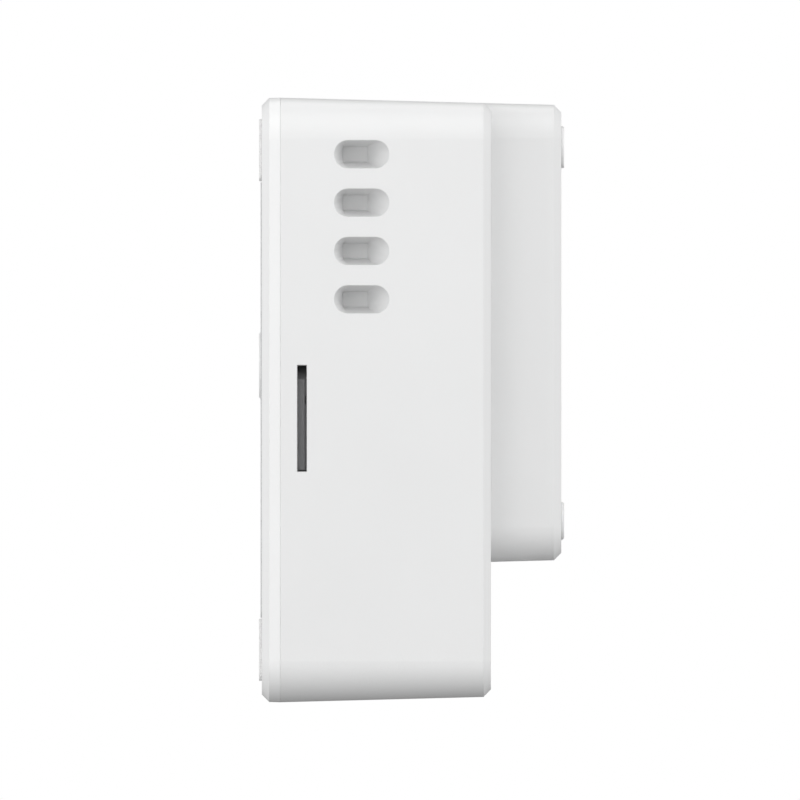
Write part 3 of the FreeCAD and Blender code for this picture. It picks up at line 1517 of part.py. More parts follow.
def sensor_board():
    """The board for the motion sensor and the microphone."""
    body = new_body("sensor_board")
    centre = ("0", "sensor_board_low + sensor_board_height / 2")
    size = ("sensor_board_width", "sensor_board_height")
    slab(body, centre, size, "sensor_board_corner", "sensor_board_depth", "board_thick")
    for x in ("-sensor_post_x", "sensor_post_x"):
        hole = (x, "sensor_post_up", "sensor_board_depth")
        rod(body, hole, "small_hole_radius", "board_thick", cut=True)
    return body


def motion_sensor():
    """The motion sensor's round metal can with its square eye."""
    body = new_body("motion_sensor")
    centre = ("0", "motion_up", "sensor_board_front")
    rod(body, centre, "can_radius", "can_height")
    rod(body, centre, "can_radius + can_rim", "can_rim_thick")
    eye = ("0", "motion_up", "sensor_board_front + can_height - can_eye_deep")
    centred_box(body, eye, ("can_eye_width", "can_eye_height", "can_eye_deep"), cut=True)
    return body


def microphone():
    """The microphone chip."""
    body = new_body("microphone")
    size = ("microphone_width", "microphone_height", "microphone_thick")
    centred_box(body, ("0", "microphone_up", "sensor_board_front"), size)
    return body


def microphone_seal():
    """The soft tube between the microphone and its hole in the face."""
    body = new_body("microphone_seal")
    centre = ("0", "microphone_up", "microphone_front")
    rod(body, centre, "microphone_seal_radius", "face_inside - microphone_front")
    rod(body, centre, "grille_hole", "face_inside", cut=True)
    return body


def module_screws():
    """Six screws for the camera holder, the sensor board and the button board."""
    places = []
    for side in ("-", ""):
        places.append((side + "camera_post_x", "camera_up", "mount_front - ear_thick"))
        places.append((side + "sensor_post_x", "sensor_post_up", "sensor_board_depth"))
        places.append((side + "bell_post_x", "bell_up", "bell_board_depth"))
    shank = ("small_screw_radius", "small_screw_length")
    return screws("module_screws", places, *shank, "small_head_radius", "small_head_thick")


# ------------------------------------------------------------------ speaker
def speaker_frame():
    """The speaker's ring and basket."""
    body = new_body("speaker_frame")
    centre = ("0", "speaker_up", "speaker_back")
    rod(body, centre, "speaker_radius", "gasket_back - speaker_back")
    inside = ("0", "speaker_up", "speaker_back + basket_floor")
    long = "gasket_back - speaker_back - basket_floor"
    cone(body, inside, "magnet_radius - basket_floor", "cone_radius + cone_gap", long, cut=True)
    vent = ("0", "speaker_up", "speaker_back - over_cut")
    rod(body, vent, "speaker_vent", "basket_floor + 3 * over_cut", cut=True)
    return body


def speaker_cone():
    """The thin cone with its dust cap and its voice coil tube."""
    body = new_body("speaker_cone")
    back = "(speaker_back + cone_back)"
    long = f"gasket_back - {back} - cone_gap"
    rims = ("cone_back_radius", "cone_radius - cone_gap")
    cone(body, ("0", "speaker_up", back), *rims, long)
    cone(body, ("0", "speaker_up", f"{back} + cone_thick"), *rims, long, cut=True)
    rod(body, ("0", "speaker_up", "speaker_back + coil_back"), "coil_radius", "voice_coil_length")
    return body


def speaker_magnet():
    """The magnet and its steel cup behind the basket."""
    body = new_body("speaker_magnet")
    rod(body, ("0", "speaker_up", "magnet_back"), "magnet_radius", "speaker_back - magnet_back")
    return body


def speaker_gasket():
    """The foam ring between the speaker and the face."""
    body = new_body("speaker_gasket")
    centre = ("0", "speaker_up", "gasket_back")
    rod(body, centre, "speaker_radius", "gasket_thick")
    rod(body, centre, "cone_radius", "gasket_thick", cut=True)
    return body


def speaker_mesh():
    """The woven dust mesh behind the speaker's holes."""
    body = new_body("speaker_mesh")
    rod(body, ("0", "speaker_up", "face_inside - mesh_thick"), "mesh_radius", "mesh_thick")
    return body


def speaker_box():
    """The closed chamber behind the speaker."""
    body = new_body("speaker_box")
    size = ("box_width", "box_width", "gasket_back - box_back - gasket_thick")
    centred_box(body, ("0", "speaker_up", "box_back"), size)
    inside = ("box_width - 2 * box_wall", "box_width - 2 * box_wall", "gasket_back - box_back")
    centred_box(body, ("0", "speaker_up", "box_back + box_wall"), inside, cut=True)
    return body


PIECES = (
    rear_plate, wall_pads, wall_gasket, cable_grommet, terminal_block, terminal_screws,
    inner_cover, cover_screws, housing_seal, security_screw, front_housing,
    card_socket, memory_card, main_board, board_screws, shield_cans, board_chips, antenna,
    ribbon_cables, battery_sleeve, battery_tray, battery_cells, battery_door, door_seal,
    battery_contacts, contact_block, contact_pins, bell_button, light_ring, button_board,
    button_switch, switch_plunger, ring_leds, button_spring, camera_bezel, camera_window,
    led_board, infrared_leds, light_sensor, lens_barrel, lens_elements, camera_mount,
    image_sensor, camera_board, filter_slider, infrared_filter, motion_window, sensor_board,
    motion_sensor, microphone, microphone_seal, module_screws, speaker_frame, speaker_cone,
    speaker_magnet, speaker_gasket, speaker_mesh, speaker_box,
)  # fmt: skip


def check_and_export(bodies):
    """Stop if anything failed, otherwise write one file for each body."""
    document.recompute()
    for item in document.Objects:
        if "Invalid" in item.State or "Error" in item.State:
            raise RuntimeError(f"{item.Name} failed: {item.State}")
    os.makedirs("parts", exist_ok=True)
    for body in bodies:
        shape = body.Shape
        if shape.isNull() or not shape.isValid() or not shape.Solids:
            raise RuntimeError(f"{body.Label} has no valid solid")
        shape.exportStep(f"parts/{body.Label}.step")
        print(body.Label, len(shape.Solids), "solids,", round(shape.Volume, 1), "mm3")


check_and_export([piece() for piece in PIECES])
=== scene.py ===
"""Looks of the video doorbell: camera, light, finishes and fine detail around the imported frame."""

import math

import bmesh
import bpy
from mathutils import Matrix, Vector


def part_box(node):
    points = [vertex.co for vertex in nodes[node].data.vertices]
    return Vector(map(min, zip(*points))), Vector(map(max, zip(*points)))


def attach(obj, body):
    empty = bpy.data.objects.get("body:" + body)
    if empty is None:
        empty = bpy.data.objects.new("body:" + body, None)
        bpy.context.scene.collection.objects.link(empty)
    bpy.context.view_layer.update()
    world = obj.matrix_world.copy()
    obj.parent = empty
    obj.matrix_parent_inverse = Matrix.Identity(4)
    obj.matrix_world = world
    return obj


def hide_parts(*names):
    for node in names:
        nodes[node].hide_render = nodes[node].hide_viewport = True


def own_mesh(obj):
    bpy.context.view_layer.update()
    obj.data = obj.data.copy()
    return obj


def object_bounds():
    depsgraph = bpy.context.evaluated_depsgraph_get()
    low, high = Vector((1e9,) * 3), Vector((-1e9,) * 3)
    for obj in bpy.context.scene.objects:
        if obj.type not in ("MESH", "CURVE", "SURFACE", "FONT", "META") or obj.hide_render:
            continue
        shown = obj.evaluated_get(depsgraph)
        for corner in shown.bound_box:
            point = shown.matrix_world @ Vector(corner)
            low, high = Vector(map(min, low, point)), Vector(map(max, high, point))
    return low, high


MM = 0.001

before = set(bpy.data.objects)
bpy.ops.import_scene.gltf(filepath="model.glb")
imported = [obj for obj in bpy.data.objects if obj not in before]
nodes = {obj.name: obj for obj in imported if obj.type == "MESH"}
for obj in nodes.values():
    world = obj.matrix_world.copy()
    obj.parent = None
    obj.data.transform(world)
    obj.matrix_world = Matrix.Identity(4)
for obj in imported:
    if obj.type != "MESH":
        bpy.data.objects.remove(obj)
cad_low, cad_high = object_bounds()
scene = bpy.context.scene

# ------------------------------------------------------------------ camera, light and floor
VIEW_HEIGHT = 185.25 * MM
VIEW_CENTRE_DEPTH = -32.65 * MM
CAMERA_DISTANCE = 0.8
FLOOR_DROP = 150 * MM
FLOOR_SIZE = 6.0

# The studio dome: extra brightness from the camera's side, the wall's side and above, over an even glow.
DOME_GLOW = 0.24
DOME = {(-1, 0, 0): 0.38, (0, 1, 0): 0.31, (0, 0, 1): 0.14}

# Soft lights: place, edge length in metres, power in watts, and whether glossy surfaces mirror them.
# The far side's light isn't mirrored, which leaves the outline seen by the camera free of gleams.
SOFTBOXES = {
    "key_light": ((-0.5, 0.25, 0.1), 0.4, 0.45, True),
    "top_light": ((-0.25, -0.035, 0.5), 0.3, 0.25, True),
    "roof_light": ((0.4, -0.035, 0.9), 0.4, 1.0, True),
    "high_light": ((-1.5, -0.1, 1.05), 1.2, 2.9, True),
    "front_light": ((-0.9, -1.8, 0.45), 1.2, 19.8, True),
    "back_light": ((-0.9, 1.8, 0.3), 1.2, 9.6, True),
    "far_side_light": ((1.9, -0.75, 0.3), 1.6, 18.0, False),
}


def make_camera():
    """A level side view from the left, without perspective."""
    data = bpy.data.cameras.new("camera")
    data.type = "ORTHO"
    data.ortho_scale = VIEW_HEIGHT
    camera = bpy.data.objects.new("camera", data)
    scene.collection.objects.link(camera)
    camera.location = (-CAMERA_DISTANCE, VIEW_CENTRE_DEPTH, 0)
    camera.rotation_euler = (math.radians(90), 0, math.radians(-90))
    scene.camera = camera


def make_dome():
    """A plain white backdrop for the camera, and a dome of uneven brightness that lights the object."""
    world = bpy.data.worlds.new("studio")
    scene.world = world
    world.use_nodes = True
    tree = world.node_tree
    direction = tree.nodes.new("ShaderNodeTexCoord").outputs["Generated"]
    total = None
    for towards, brightness in DOME.items():
        facing = tree.nodes.new("ShaderNodeVectorMath")
        facing.operation = "DOT_PRODUCT"
        facing.inputs[1].default_value = towards
        tree.links.new(direction, facing.inputs[0])
        clipped = tree.nodes.new("ShaderNodeMath")
        clipped.operation = "MAXIMUM"
        clipped.inputs[1].default_value = 0
        tree.links.new(facing.outputs["Value"], clipped.inputs[0])
        weighted = tree.nodes.new("ShaderNodeMath")
        weighted.operation = "MULTIPLY_ADD"
        weighted.inputs[1].default_value = brightness
        weighted.inputs[2].default_value = DOME_GLOW
        tree.links.new(clipped.outputs[0], weighted.inputs[0])
        if total is not None:
            tree.links.new(total, weighted.inputs[2])
        total = weighted.outputs[0]
    backdrop = tree.nodes["Background"]
    backdrop.inputs["Color"].default_value = (1, 1, 1, 1)
    light = tree.nodes.new("ShaderNodeBackground")
    tree.links.new(total, light.inputs["Strength"])
    seen = tree.nodes.new("ShaderNodeLightPath").outputs["Is Camera Ray"]
    choose = tree.nodes.new("ShaderNodeMixShader")
    tree.links.new(seen, choose.inputs[0])
    tree.links.new(light.outputs[0], choose.inputs[1])
    tree.links.new(backdrop.outputs[0], choose.inputs[2])
    tree.links.new(choose.outputs[0], tree.nodes["World Output"].inputs["Surface"])


def make_softbox(name, place, size, power, mirrored):
    """A square soft light that looks at the middle of the doorbell."""
    data = bpy.data.lights.new(name, "AREA")
    data.shape = "SQUARE"
    data.size = size
    data.energy = power
    light = bpy.data.objects.new(name, data)
    scene.collection.objects.link(light)
    light.location = place
    aim = (cad_low + cad_high) / 2 - Vector(place)
    light.rotation_euler = aim.to_track_quat("-Z", "Y").to_euler()
    light.visible_glossy = mirrored


def make_floor(finish):
    """A pale floor well below the object, with room for the battery to slide out.

    It throws neither light nor shadow on the object, and isn't mirrored in it.
    """
    mesh = bpy.data.meshes.new("floor")
    half = FLOOR_SIZE / 2
    corners = [(x, y, -FLOOR_DROP) for x, y in ((-half, -half), (half, -half), (half, half), (-half, half))]
    mesh.from_pydata(corners, [], [(0, 1, 2, 3)])
    floor = bpy.data.objects.new("floor", mesh)
    scene.collection.objects.link(floor)
    mesh.materials.append(finish)
    floor.visible_diffuse = False
    floor.visible_glossy = False
    floor.visible_shadow = False


# ------------------------------------------------------------------ building blocks of the finishes
# The wave texture at scale 1 has a stripe every pi / 10.
WAVE_TURNS = 10
# The Mix node's sockets for colours, by number, because its sockets for values have the same names.
MIX_FIRST, MIX_SECOND, MIX_RESULT = 6, 7, 2


class Finish:
    """One procedural material, measured in metres on the object itself."""

    def __init__(self, name, **sockets):
        self.material = bpy.data.materials.new(name)
        self.material.use_nodes = True
        self.tree = self.material.node_tree
        self.shader = self.tree.nodes["Principled BSDF"]
        self.place = self.add("TexCoord").outputs["Object"]
        for socket, value in sockets.items():
            self.put(self.shader, socket.replace("_", " "), value)

    def add(self, kind, **settings):
        """A new node of a kind, with its settings."""
        node = self.tree.nodes.new("ShaderNode" + kind)
        for setting, value in settings.items():
            setattr(node, setting, value)
        return node

    def put(self, node, socket, value):
        """Feed a socket from another node, or set it to a plain value."""
        if isinstance(value, bpy.types.NodeSocket):
            self.tree.links.new(value, node.inputs[socket])
        elif isinstance(value, tuple) and len(value) == 3 and node.inputs[socket].type == "RGBA":
            node.inputs[socket].default_value = (*value, 1)
        else:
            node.inputs[socket].default_value = value

    def stretched(self, along):
        """The place, squeezed by a factor along each axis, which draws a pattern out there."""
        mapping = self.add("Mapping")
        self.put(mapping, "Vector", self.place)
        self.put(mapping, "Scale", along)
        return mapping.outputs[0]

    def noise(self, size, detail=3.0, place=None):
        """Soft random values with lumps of about that size."""
        node = self.add("TexNoise")
        self.put(node, "Vector", place or self.place)
        self.put(node, "Scale", 1 / size)
        self.put(node, "Detail", detail)
        return node.outputs["Fac"]

    def cells(self, size, kind="F1"):
        """Distance to the middle, or to the edge, of random cells of about that size."""
        node = self.add("TexVoronoi", feature=kind)
        self.put(node, "Vector", self.place)
        self.put(node, "Scale", 1 / size)
        return node.outputs["Distance"]

    def stripes(self, spacing, axis):
        """Soft stripes across one axis."""
        node = self.add("TexWave", bands_direction=axis, wave_profile="SIN")
        self.put(node, "Vector", self.place)
        self.put(node, "Scale", math.pi / (WAVE_TURNS * spacing))
        return node.outputs["Fac"]

    def height(self, axis):
        """How far along one axis of the object a point is, in metres."""
        split = self.add("SeparateXYZ")
        self.put(split, "Vector", self.place)
        return split.outputs[axis]

    def scale(self, value, low, high, start=0.0, end=1.0):
        """Stretch values from start..end to low..high, clipped."""
        node = self.add("MapRange")
        self.put(node, "Value", value)
        self.put(node, "From Min", start)
        self.put(node, "From Max", end)
        self.put(node, "To Min", low)
        self.put(node, "To Max", high)
        return node.outputs[0]

    def maths(self, operation, first, second):
        """One arithmetic step on two values."""
        node = self.add("Math", operation=operation)
        self.put(node, 0, first)
        self.put(node, 1, second)
        return node.outputs[0]

    def mix(self, share, first, second):
        """One colour turning into another."""
        node = self.add("Mix", data_type="RGBA")
        self.put(node, "Factor", share)
        self.put(node, MIX_FIRST, first)
        self.put(node, MIX_SECOND, second)
        return node.outputs[MIX_RESULT]

    def relief(self, pattern, depth, under=None):
        """Raise the surface by a pattern, over an earlier relief."""
        node = self.add("Bump")
        self.put(node, "Height", pattern)
        self.put(node, "Distance", depth)
        if under is not None:
            self.put(node, "Normal", under)
        return node.outputs[0]

    def soft_edges(self, radius):
        """The surface's direction, rounded off near sharp edges."""
        node = self.add("Bevel", samples=4)
        self.put(node, "Radius", radius)
        return node.outputs[0]

    def openness(self, reach):
        """From 0 deep in a recess to 1 on an open surface, judged within a short reach."""
        node = self.add("AmbientOcclusion", samples=8)
        self.put(node, "Distance", reach)
        return node.outputs["AO"]

    def done(self, colour, rough, normal):
        """Feed the shader and give the material."""
        for socket, value in (("Base Color", colour), ("Roughness", rough), ("Normal", normal)):
            self.put(self.shader, socket, value)
        return self.material


def shade(colour, amount):
    """The same colour, lighter or darker by a share."""
    return tuple(min(1.0, part * (1 + amount)) for part in colour)


# ------------------------------------------------------------------ finishes
EDGE_ROUND = 0.3 * MM
# Painted shade in recesses: how far it looks for nearby surfaces, and how much darker it makes the colour
# at most.
RECESS_REACH = 8 * MM
PAINTED_RECESS_SHADE = 0.12
MOULD_GRAIN = 0.18 * MM
GLASS_IOR = 1.5


def moulded(name, colour, rough, depth=0.006 * MM, clouding=0.015, edge=None, **sockets):
    """Moulded plastic: faint clouding and a spark-eroded grain.

    With an edge radius, its edges are a little rounded and painted shade makes its recesses a little
    darker.
    """
    finish = Finish(name, **sockets)
    rounded = finish.soft_edges(edge) if edge else None
    clouds = finish.noise(22 * MM, detail=2)
    specks = finish.cells(MOULD_GRAIN)
    tone = finish.mix(clouds, shade(colour, -clouding), shade(colour, clouding))
    tone = finish.mix(finish.scale(specks, 0, 0.05), tone, shade(colour, -0.3))
    if edge:
        # Painted shade: the colour darkens where nearby surfaces close a recess in.
        tone = finish.mix(finish.openness(RECESS_REACH), shade(colour, -PAINTED_RECESS_SHADE), tone)
    gloss = finish.scale(finish.noise(6 * MM, detail=4), rough - 0.05, rough + 0.05)
    relief = finish.relief(specks, depth, rounded)
    relief = finish.relief(finish.noise(3 * MOULD_GRAIN, detail=2), depth, relief)
    return finish.done(tone, gloss, relief)


def satin(name, colour, rough):
    """Polished plastic with faint waviness and hairline scuffs."""
    finish = Finish(name)
    scuffs = finish.noise(0.5 * MM, detail=5, place=finish.stretched((1, 1, 0.08)))
    tone = finish.mix(finish.noise(12 * MM), shade(colour, -0.02), shade(colour, 0.02))
    gloss = finish.scale(scuffs, rough - 0.04, rough + 0.08, start=0.35, end=0.7)
    relief = finish.relief(finish.noise(5 * MM, detail=1), 0.01 * MM)
    return finish.done(tone, gloss, finish.relief(scuffs, 0.001 * MM, relief))


def rubber(name, colour, rough):
    """Moulded rubber: dusty bloom in patches over a fine matt grain."""
    finish = Finish(name, Specular_IOR_Level=0.35)
    bloom = finish.scale(finish.noise(3 * MM, detail=6), 0, 1, start=0.45, end=0.75)
    tone = finish.mix(bloom, colour, tuple(part + 0.1 * (1 - part) for part in colour))
    gloss = finish.scale(bloom, rough, min(1.0, rough + 0.15))
    relief = finish.relief(finish.cells(0.12 * MM), 0.012 * MM)
    return finish.done(tone, gloss, finish.relief(finish.noise(1.5 * MM), 0.02 * MM, relief))


def foam(name, colour, cell):
    """Closed-cell foam: round cells of mixed sizes, with painted shade darkening their hollows."""
    finish = Finish(name, Specular_IOR_Level=0.2)
    pores = finish.cells(cell)
    small_pores = finish.cells(0.4 * cell)
    walls = finish.scale(pores, 0, 1, start=0.1, end=0.6)
    walls = finish.maths("MULTIPLY", walls, finish.scale(small_pores, 0.5, 1, start=0, end=0.5))
    # Painted shade: the colour is darker towards the middle of each cell.
    tone = finish.mix(walls, shade(colour, -0.15), colour)
    relief = finish.relief(pores, 0.35 * cell)
    relief = finish.relief(small_pores, 0.1 * cell, relief)
    return finish.done(tone, finish.scale(walls, 0.95, 0.8), relief)


def metal(name, colour, rough, brush=(1, 1, 0.03), tarnish=0.12):
    """Bare metal with faint tarnish, brushed along any axis whose factor is small."""
    finish = Finish(name, Metallic=1.0)
    lines = finish.noise(0.15 * MM, detail=4, place=finish.stretched(brush))
    patches = finish.scale(finish.noise(4 * MM, detail=5), 0, 1, start=0.45, end=0.8)
    tone = finish.mix(patches, colour, shade(colour, -tarnish))
    gloss = finish.scale(lines, rough - 0.06, rough + 0.1, start=0.3, end=0.7)
    return finish.done(tone, gloss, finish.relief(lines, 0.002 * MM))


def clear(name, tint, rough=0.03, **sockets):
    """Glass or clear resin with faint surface waves and a few specks of dust."""
    finish = Finish(name, IOR=GLASS_IOR, Transmission_Weight=1.0, **sockets)
    dust = finish.scale(finish.noise(0.4 * MM, detail=6), 0, 1, start=0.62, end=0.8)
    tone = finish.mix(dust, tint, shade(tint, -0.25))
    gloss = finish.scale(dust, rough, rough + 0.25)
    return finish.done(tone, gloss, finish.relief(finish.noise(4 * MM, detail=1), 0.004 * MM))


def milky_plastic(name):
    """Milky plastic in front of the motion sensor, ribbed inside like a stack of flat lenses."""
    finish = Finish(name, Subsurface_Weight=0.2, Subsurface_Radius=(0.0015, 0.0014, 0.0012))
    finish.put(finish.shader, "Subsurface Scale", 1.0)
    ribs = finish.stripes(1.3 * MM, "X")
    tone = finish.mix(ribs, (0.89, 0.893, 0.895), (0.93, 0.932, 0.93))
    relief = finish.relief(finish.noise(0.3 * MM), 0.004 * MM)
    return finish.done(tone, finish.scale(finish.noise(5 * MM), 0.32, 0.42), relief)


def frosted_guide(name):
    """The frosted light guide round the button: pale, waxy, with a faint grain."""
    finish = Finish(name, Subsurface_Weight=0.5, Subsurface_Radius=(0.001, 0.001, 0.001))
    finish.put(finish.shader, "Subsurface Scale", 1.0)
    tone = finish.mix(finish.noise(3 * MM), (0.70, 0.73, 0.76), (0.76, 0.79, 0.81))
    gloss = finish.scale(finish.noise(0.6 * MM, detail=5), 0.3, 0.42)
    return finish.done(tone, gloss, finish.relief(finish.noise(0.2 * MM), 0.005 * MM))


def printed_label(name, colour, line):
    """Coated paper with faint fibres and hairline bars across it, with nothing to read."""
    finish = Finish(name, Coat_Weight=0.25, Coat_Roughness=0.3)
    fibres = finish.noise(0.6 * MM, detail=6)
    bars = finish.scale(finish.stripes(3.2 * MM, "Z"), 0, 1, start=0.90, end=0.93)
    tone = finish.mix(fibres, shade(colour, -0.03), shade(colour, 0.03))
    tone = finish.mix(bars, tone, line)
    return finish.done(tone, finish.scale(fibres, 0.35, 0.5), finish.relief(fibres, 0.006 * MM))


def circuit_board(name):
    """Green solder mask over copper tracks, with tinned dots scattered over it."""
    finish = Finish(name, Coat_Weight=0.3, Coat_Roughness=0.2)
    track_field = finish.cells(2.2 * MM, kind="DISTANCE_TO_EDGE")
    tracks = finish.scale(track_field, 1, 0, start=0.03, end=0.10)
    dots = finish.scale(finish.cells(2.9 * MM), 1, 0, start=0.08, end=0.13)
    mask = finish.mix(finish.noise(9 * MM), (0.012, 0.115, 0.05), (0.018, 0.15, 0.07))
    tone = finish.mix(tracks, mask, (0.04, 0.24, 0.10))
    tone = finish.mix(dots, tone, (0.62, 0.60, 0.55))
    finish.put(finish.shader, "Metallic", dots)
    relief = finish.relief(tracks, 0.03 * MM)
    return finish.done(tone, finish.scale(dots, 0.35, 0.25), finish.relief(dots, 0.02 * MM, relief))


def chip_plastic(name):
    """Dark moulded epoxy with a fine glassy fleck."""
    finish = Finish(name)
    flecks = finish.scale(finish.noise(0.08 * MM, detail=2), 0, 1, start=0.55, end=0.75)
    tone = finish.mix(flecks, (0.018, 0.018, 0.02), (0.06, 0.06, 0.065))
    relief = finish.relief(finish.cells(0.1 * MM), 0.005 * MM)
    return finish.done(tone, finish.scale(flecks, 0.55, 0.35), relief)


WRAP_BAND = 3 * MM
WRAP_BAND_BLUR = 0.2 * MM


def cell_wrap(name):
    """Shrink-wrapped film: even colour, faint lengthwise wrinkles and a paler band at each end."""
    finish = Finish(name, Coat_Weight=0.4, Coat_Roughness=0.15)
    low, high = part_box("battery_cells")
    wrinkles = finish.noise(0.8 * MM, detail=3, place=finish.stretched((1, 1, 0.05)))
    middle = (low.z + high.z) / 2
    from_middle = finish.maths("ABSOLUTE", finish.maths("SUBTRACT", finish.height("Z"), middle), 0.0)
    band_start = (high.z - low.z) / 2 - WRAP_BAND
    band = finish.scale(from_middle, 0, 1, start=band_start, end=band_start + WRAP_BAND_BLUR)
    tone = finish.mix(wrinkles, (0.03, 0.16, 0.34), (0.045, 0.20, 0.40))
    tone = finish.mix(band, tone, (0.55, 0.57, 0.58))
    return finish.done(tone, finish.scale(wrinkles, 0.25, 0.4), finish.relief(wrinkles, 0.02 * MM))


def ribbon_film(name):
    """Flat flexible cable: amber film with copper lines along it."""
    finish = Finish(name, Coat_Weight=0.5, Coat_Roughness=0.1)
    lines = finish.scale(finish.stripes(0.5 * MM, "X"), 0, 1, start=0.35, end=0.65)
    tone = finish.mix(lines, (0.50, 0.22, 0.04), (0.62, 0.33, 0.10))
    return finish.done(tone, finish.scale(finish.noise(2 * MM), 0.25, 0.4), finish.relief(lines, 0.02 * MM))


def cone_paper(name):
    """Pressed paper pulp with short fibres."""
    finish = Finish(name, Sheen_Weight=0.2)
    fibres = finish.noise(0.5 * MM, detail=8, place=finish.stretched((1, 1, 0.3)))
    tone = finish.mix(fibres, (0.035, 0.034, 0.033), (0.10, 0.098, 0.095))
    return finish.done(tone, finish.scale(fibres, 0.75, 0.95), finish.relief(fibres, 0.05 * MM))


def mesh_cloth(name):
    """Black acoustic cloth thread with a twisted ply."""
    finish = Finish(name, Sheen_Weight=0.4, Sheen_Roughness=0.4)
    ply = finish.noise(0.05 * MM, detail=3, place=finish.stretched((1, 1, 0.4)))
    tone = finish.mix(ply, (0.012, 0.012, 0.013), (0.05, 0.05, 0.052))
    return finish.done(tone, finish.scale(ply, 0.6, 0.85), finish.relief(ply, 0.01 * MM))


def floor_finish():
    """Pale matt studio paper."""
    finish = Finish("floor_paper", Specular_IOR_Level=0.1)
    fibres = finish.noise(2 * MM, detail=5)
    tone = finish.mix(fibres, (0.80, 0.80, 0.80), (0.84, 0.84, 0.84))
    return finish.done(tone, finish.scale(fibres, 0.85, 0.95), finish.relief(fibres, 0.02 * MM))


WHITE = (0.865, 0.868, 0.868)
# The rear plate is painted a lighter white than the housing, which paints in the brighter light on its
# side.
REAR_WHITE_PAINTED_LIGHTER = (0.94, 0.943, 0.943)

# One finish for each material slot of the record.
FINISHES = {
    "white_plastic": moulded("white_plastic", WHITE, 0.40, edge=EDGE_ROUND),
    "rear_plastic": moulded("rear_plastic", REAR_WHITE_PAINTED_LIGHTER, 0.40, edge=EDGE_ROUND),
    "bezel_plastic": satin("bezel_plastic", (0.96, 0.961, 0.962), 0.30),
    "button_plastic": satin("button_plastic", (0.86, 0.86, 0.86), 0.34),
    "milky_plastic": milky_plastic("milky_plastic"),
    "smoked_glass": clear("smoked_glass", (0.45, 0.45, 0.48)),
    "light_guide": frosted_guide("light_guide"),
    "adhesive_foam": foam("adhesive_foam", (0.96, 0.96, 0.955), 0.35 * MM),
    "gasket_foam": foam("gasket_foam", (0.74, 0.75, 0.75), 0.25 * MM),
    "grey_rubber": rubber("grey_rubber", (0.92, 0.92, 0.92), 0.6),
    "black_rubber": rubber("black_rubber", (0.03, 0.03, 0.032), 0.6),
    "black_plastic": moulded("black_plastic", (0.03, 0.03, 0.032), 0.45, clouding=0.08),
    "battery_plastic": moulded("battery_plastic", (0.10, 0.105, 0.11), 0.42, clouding=0.05),
    "plunger_plastic": satin("plunger_plastic", (0.35, 0.08, 0.05), 0.35),
    "circuit_board": circuit_board("circuit_board"),
    "chip_plastic": chip_plastic("chip_plastic"),
    "sensor_glass": clear("sensor_glass", (0.25, 0.18, 0.30), rough=0.02),
    "sheet_steel": metal("sheet_steel", (0.66, 0.66, 0.65), 0.30, brush=(0.05, 1, 1)),
    "spring_steel": metal("spring_steel", (0.58, 0.58, 0.59), 0.25, brush=(1, 1, 0.1)),
    "screw_steel": metal("screw_steel", (0.50, 0.50, 0.51), 0.28, tarnish=0.2),
    "screw_brass": metal("screw_brass", (0.78, 0.58, 0.26), 0.28, tarnish=0.3),
    "contact_gold": metal("contact_gold", (0.95, 0.70, 0.30), 0.22, brush=(1, 0.1, 1)),
    "cell_wrap": cell_wrap("cell_wrap"),
    "card_plastic": moulded("card_plastic", (0.235, 0.235, 0.24), 0.38, clouding=0.05),
    "ribbon_film": ribbon_film("ribbon_film"),
    "led_resin": clear("led_resin", (0.80, 0.82, 0.90), rough=0.08),
    "lens_metal": moulded("lens_metal", (0.02, 0.02, 0.022), 0.32, Metallic=0.6),
    "lens_glass": clear("lens_glass", (0.90, 0.95, 1.0), rough=0.0, Coat_Weight=0.5),
    "filter_glass": clear("filter_glass", (0.55, 0.80, 0.90), rough=0.02),
    "cone_paper": cone_paper("cone_paper"),
    "magnet_steel": metal("magnet_steel", (0.38, 0.38, 0.40), 0.42, brush=(1, 1, 1), tarnish=0.3),
    "mesh_cloth": mesh_cloth("mesh_cloth"),
}
CARD_LABEL = printed_label("card_label", (0.30, 0.32, 0.35), (0.55, 0.57, 0.60))
BATTERY_LABEL = printed_label("battery_label", (0.62, 0.63, 0.64), (0.30, 0.31, 0.33))
ICON_PRINT = moulded("icon_print", (0.33, 0.34, 0.36), 0.5, depth=0.003 * MM, clouding=0.04)


def finish_frame():
    """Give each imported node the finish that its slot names."""
    for node in nodes.values():
        slot = node.data.materials[0].name
        node.data.materials[0] = FINISHES[slot.split(".")[0]]


# ------------------------------------------------------------------ building blocks of the details
def new_piece(name, mesh_maker, finish, body):
    """An object that rides on a body, with its mesh from a maker that fills a bmesh."""
    work = bmesh.new()
    mesh_maker(work)
    bmesh.ops.recalc_face_normals(work, faces=work.faces)
    mesh = bpy.data.meshes.new(name)
    work.to_mesh(mesh)
    work.free()
    mesh.materials.append(finish)
    piece = bpy.data.objects.new(name, mesh)
    scene.collection.objects.link(piece)
    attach(piece, body)
    return piece


def rounded_outline(width, height, radius, steps=8):
    """Points round a rectangle with round corners, as (across, up) from its middle."""
    points = []
    for corner, (side, rise) in enumerate(((1, 1), (-1, 1), (-1, -1), (1, -1))):
        centre = (side * (width / 2 - radius), rise * (height / 2 - radius))
        for step in range(steps + 1):
            turn = math.radians(90) * (corner + step / steps)
            points.append((centre[0] + radius * math.cos(turn), centre[1] + radius * math.sin(turn)))
    return points


def loft(work, rings):
    """A closed solid skinned over rings that have the same number of points."""
    loops = [[work.verts.new(point) for point in ring] for ring in rings]
    for lower, upper in zip(loops, loops[1:]):
        for here in range(len(lower)):
            after = (here + 1) % len(lower)
            side = work.faces.new((lower[here], lower[after], upper[after], upper[here]))
            side.smooth = True
    work.faces.new(loops[0])
    work.faces.new(reversed(loops[-1]))


